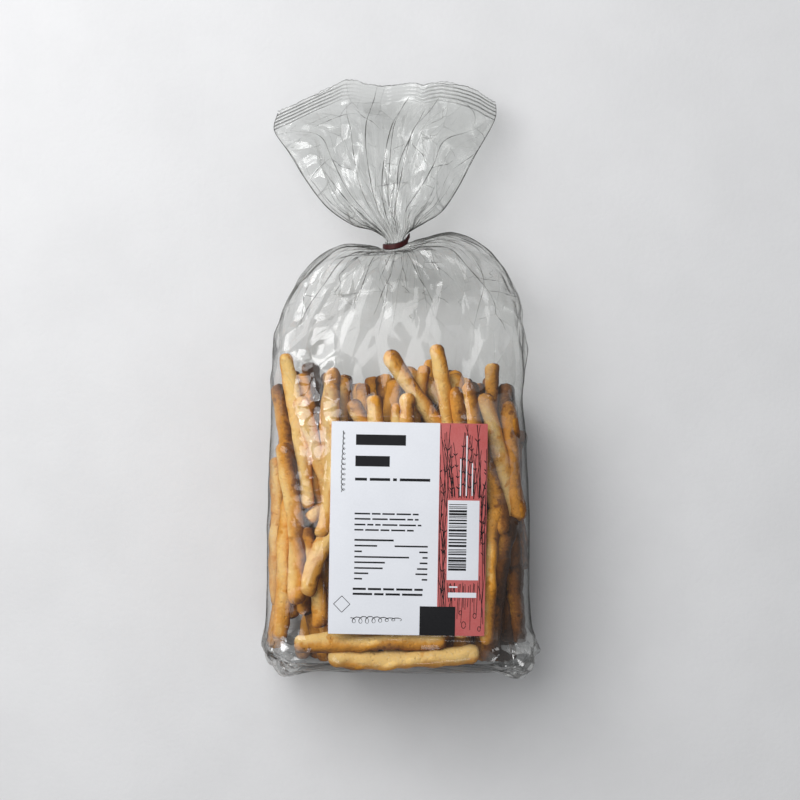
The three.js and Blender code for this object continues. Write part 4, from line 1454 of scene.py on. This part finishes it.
def text_bars():
    """Plain bars in the places of the print, and a bare diamond: rows of s0, t0, s1, t1, width."""
    rows = [(11.7, 92.3, 35.4, 92.3, 5.0), (11.6, 82.2, 27.9, 82.2, 5.0)]
    random = np.random.default_rng(9)
    words = ((73.6, 1.3, (11.6, 17.2, 18.6, 28.2, 29.6, 31.4, 32.8, 47.2)),)
    rows += spans(words)
    for t, right in ((57.3, 42.0), (54.8, 42.0), (52.1, 43.4), (49.6, 39.8)):
        s = 11.7
        while s < right - 1.5:
            word = min(random.uniform(2.5, 8), right - s)
            rows.append((s, t, s + word, t, 0.75))
            s += word + 0.9
    rows.append((11.8, 44.8, 30.4, 44.8, 0.85))
    for t, left, right in ((42.1, 22.6, 30.9), (39.4, 15.4, 42.6), (36.8, 37.8, 44.2), (34.2, 26.4, 42.9),
                           (31.5, 25.4, 41.7), (29.0, 18.6, 41.0), (26.4, 15.7, 44.0)):
        rows += spans([(t, 0.75, (11.9, left, right, 46.6))])
    rows += spans([(21.6, 1.0, (11.4, 17.6, 18.6, 24.8, 25.8, 31.0, 32.0, 39.6, 40.6, 44.6)),
                   (19.2, 1.0, (11.4, 20.6, 21.6, 26.0, 27.0, 33.8, 34.8, 44.4))])
    middle, reach = np.array([6.3, 14.2]), 3.9
    corners = middle + reach * np.array([(1, 0), (0, 1), (-1, 0), (0, -1)])
    return rows + [(*corners[k], *corners[(k + 1) % 4], 0.28) for k in range(4)]


def spans(lines):
    """Rows of s0, t0, s1, t1, width from lines of t, width and where each word starts and stops."""
    return [(a, t, b, t, width) for t, width, stops in lines for a, b in zip(stops[::2], stops[1::2])]


def flourish(start, end, height, waves, stations=70):
    """A plain wavy stroke from one point to another, its waves leaning forwards."""
    share = np.linspace(0, 1, stations)
    way = np.array(end) - np.array(start)
    long = np.linalg.norm(way)
    way = way / long
    side = np.array([-way[1], way[0]])
    turn = TURN * waves * share
    along = long * share + 0.45 * height * np.sin(turn)
    up = height / 2 * np.cos(turn) * (0.7 + 0.3 * np.sin(5 * share))
    middle = np.array(start) + along[:, None] * way + up[:, None] * side
    width = 0.3 + 0.12 * np.cos(turn + 0.6)
    return middle[None], width[None]


class BAG_OT_label(bpy.types.Operator):
    """Add the paper label with its coloured strip and plain print"""

    bl_idname = "bag.add_label"
    bl_label = "Label"

    def execute(self, context):
        settings = context.scene.breadstick_bag.label
        wide, tall, strip = LABEL["width"], LABEL["height"], 51.5
        sheet = LABEL_LIFT + settings.thick / MM
        over = sheet + 0.04
        finishes = {
            "paper": paper_finish("label_paper", settings.paper),
            "strip": paper_finish("label_strip_print", settings.strip, 0.4, 0.05),
            "ink": paper_finish("label_dark_print", settings.ink, 0.6, 0.006, 0.15),
            "white": paper_finish("label_white_print", settings.paper, 0.4),
        }
        upright = [(s, 66.5, s, head, 0.55) for s, head in ((61.6, 84.0), (64.4, 95.0), (67.2, 82.0))]
        flat = [(56.6, 19.4, 70.0, 19.4, 2.4), (57.0, 23.2, 61.0, 23.2, 0.7)]
        white_fields = [label_field(55.8, 70.8, 26.5, 64.3, over, over + 0.06, 1.9),
                        label_lines(*bars(upright + flat), over, over + 0.06)]
        marks = [label_lines(*lines, sheet, sheet + 0.04) for lines in (
            bars(text_bars()), flourish((10.6, 6.6), (34.0, 7.4), 3.4, 7.5),
            flourish((6.0, 67.4), (6.0, 96.4), 2.2, 12))]
        for name, slot, finish, shape in (
            ("label_sheet", "label_paper", "paper", label_field(0, wide, 0, tall, LABEL_LIFT, sheet)),
            ("label_strip", "label_print", "strip", label_field(strip, wide, 0, tall, sheet, over)),
            ("label_motifs", "label_ink", "ink", label_lines(*strip_motifs(), over, over + 0.03)),
            ("label_white_fields", "label_paper", "white", joined(white_fields)),
            ("label_stripes", "label_ink", "ink", label_lines(*stripe_panel(), over + 0.06, over + 0.09)),
            ("label_square", "label_ink", "ink", label_field(43.3, 60.2, 0.0, 13.8, over, over + 0.07, 1.9)),
            ("label_text_bars", "label_ink", "ink", joined(marks)),
        ):
            add_piece(name, slot, *shape, finishes[finish], corner=math.radians(30), replaces=("label",))
        return {"FINISHED"}


class BAG_OT_tie(bpy.types.Operator):
    """Add the band that holds the neck shut"""

    bl_idname = "bag.add_tie"
    bl_label = "Tie"

    def execute(self, context):
        settings = context.scene.breadstick_bag.tie
        stations, sides = 150, 20
        share = np.linspace(0, 1, stations)
        turn = math.radians(35) - share * TURN * 1.1
        free = smooth_step(0.88, 0.98, share)
        radius = 6.0 + 0.9 * free - 0.12 * np.cos(2 * turn)
        off = radius * np.cos(turn)
        dip = 0.21 * off - 2.4 * (1 - np.abs(off / 7.2) ** 2.6) + 2.0 * free
        middle = np.stack([off, dip, radius * np.sin(turn)], axis=-1) + NECK
        around = np.linspace(0, TURN, sides, endpoint=False)
        cos, sin = np.cos(around), np.sin(around)
        taper = np.clip(np.minimum(share, 1 - share) * 40, 0.25, 1) ** 0.5 * (0.8 + 0.2 * np.sin(turn))
        across = settings.width / MM / 2 * np.sign(cos) * np.abs(cos) ** 0.6
        out = 0.42 * np.sign(sin) * np.abs(sin) ** 0.8 + 0.07 * np.cos(around * 6)
        outwards = np.stack([np.cos(turn), 0 * turn, np.sin(turn)], axis=-1)
        points = (middle[:, None] + outwards[:, None] * (out * taper[:, None])[..., None]
                  + np.array([0.0, 1.0, 0.0]) * (across * taper[:, None])[..., None])
        m = Finish("tie_band")
        streak = m.noise((0.5, 3.0, 0.5), 3.0)
        cloud = m.noise((3, 3, 3))
        # Painted shade: the band darkens towards its two long edges; its streaks and clouds are its own.
        dark = (m.value("side") ** 3.0 + streak.over(0.4, 0.7) * 0.4 + cloud * 0.2).clamp()
        color = m.mix(dark, tuple(settings.color), (0.012, 0.003, 0.004))
        band = m.solid(Base_Color=color, Roughness=0.42 + streak * 0.2, Specular_IOR_Level=0.3,
                       Normal=m.bump(streak, 0.2, 0.8))
        add_piece("tie_band", "tie", points.reshape(-1, 3), tube_faces(1, stations, sides), band,
                  values={"side": np.broadcast_to(np.abs(cos), (stations, sides))},
                  replaces=("tie",), corner=math.radians(50))
        return {"FINISHED"}


class BAG_PT_panel(bpy.types.Panel):
    """Lists the bag's pieces and their settings"""

    bl_idname = "BAG_PT_panel"
    bl_label = "Breadstick Bag"
    bl_space_type = "VIEW_3D"
    bl_region_type = "UI"
    bl_category = "Breadstick Bag"

    def draw(self, context):
        settings = context.scene.breadstick_bag
        for operator in OPERATORS:
            self.layout.operator(operator.bl_idname)
        for group in (settings.sticks, settings.film, settings.label, settings.tie, settings.stage):
            box = self.layout.box()
            for key in group.__annotations__:
                box.prop(group, key)


OPERATORS = (BAG_OT_stage, BAG_OT_sticks, BAG_OT_film, BAG_OT_mouth, BAG_OT_label, BAG_OT_tie)
CLASSES = (StickSettings, FilmSettings, LabelSettings, TieSettings, StageSettings, BagSettings, *OPERATORS,
           BAG_PT_panel)


def register():
    for cls in CLASSES:
        bpy.utils.register_class(cls)
    bpy.types.Scene.breadstick_bag = PointerProperty(type=BagSettings)


def unregister():
    del bpy.types.Scene.breadstick_bag
    for cls in reversed(CLASSES):
        bpy.utils.unregister_class(cls)


def main():
    register()
    bpy.ops.bag.add_stage()
    bpy.ops.bag.add_sticks()
    bpy.ops.bag.add_film()
    bpy.ops.bag.add_mouth()
    bpy.ops.bag.add_label()
    bpy.ops.bag.add_tie()


if __name__ == "__main__":
    main()
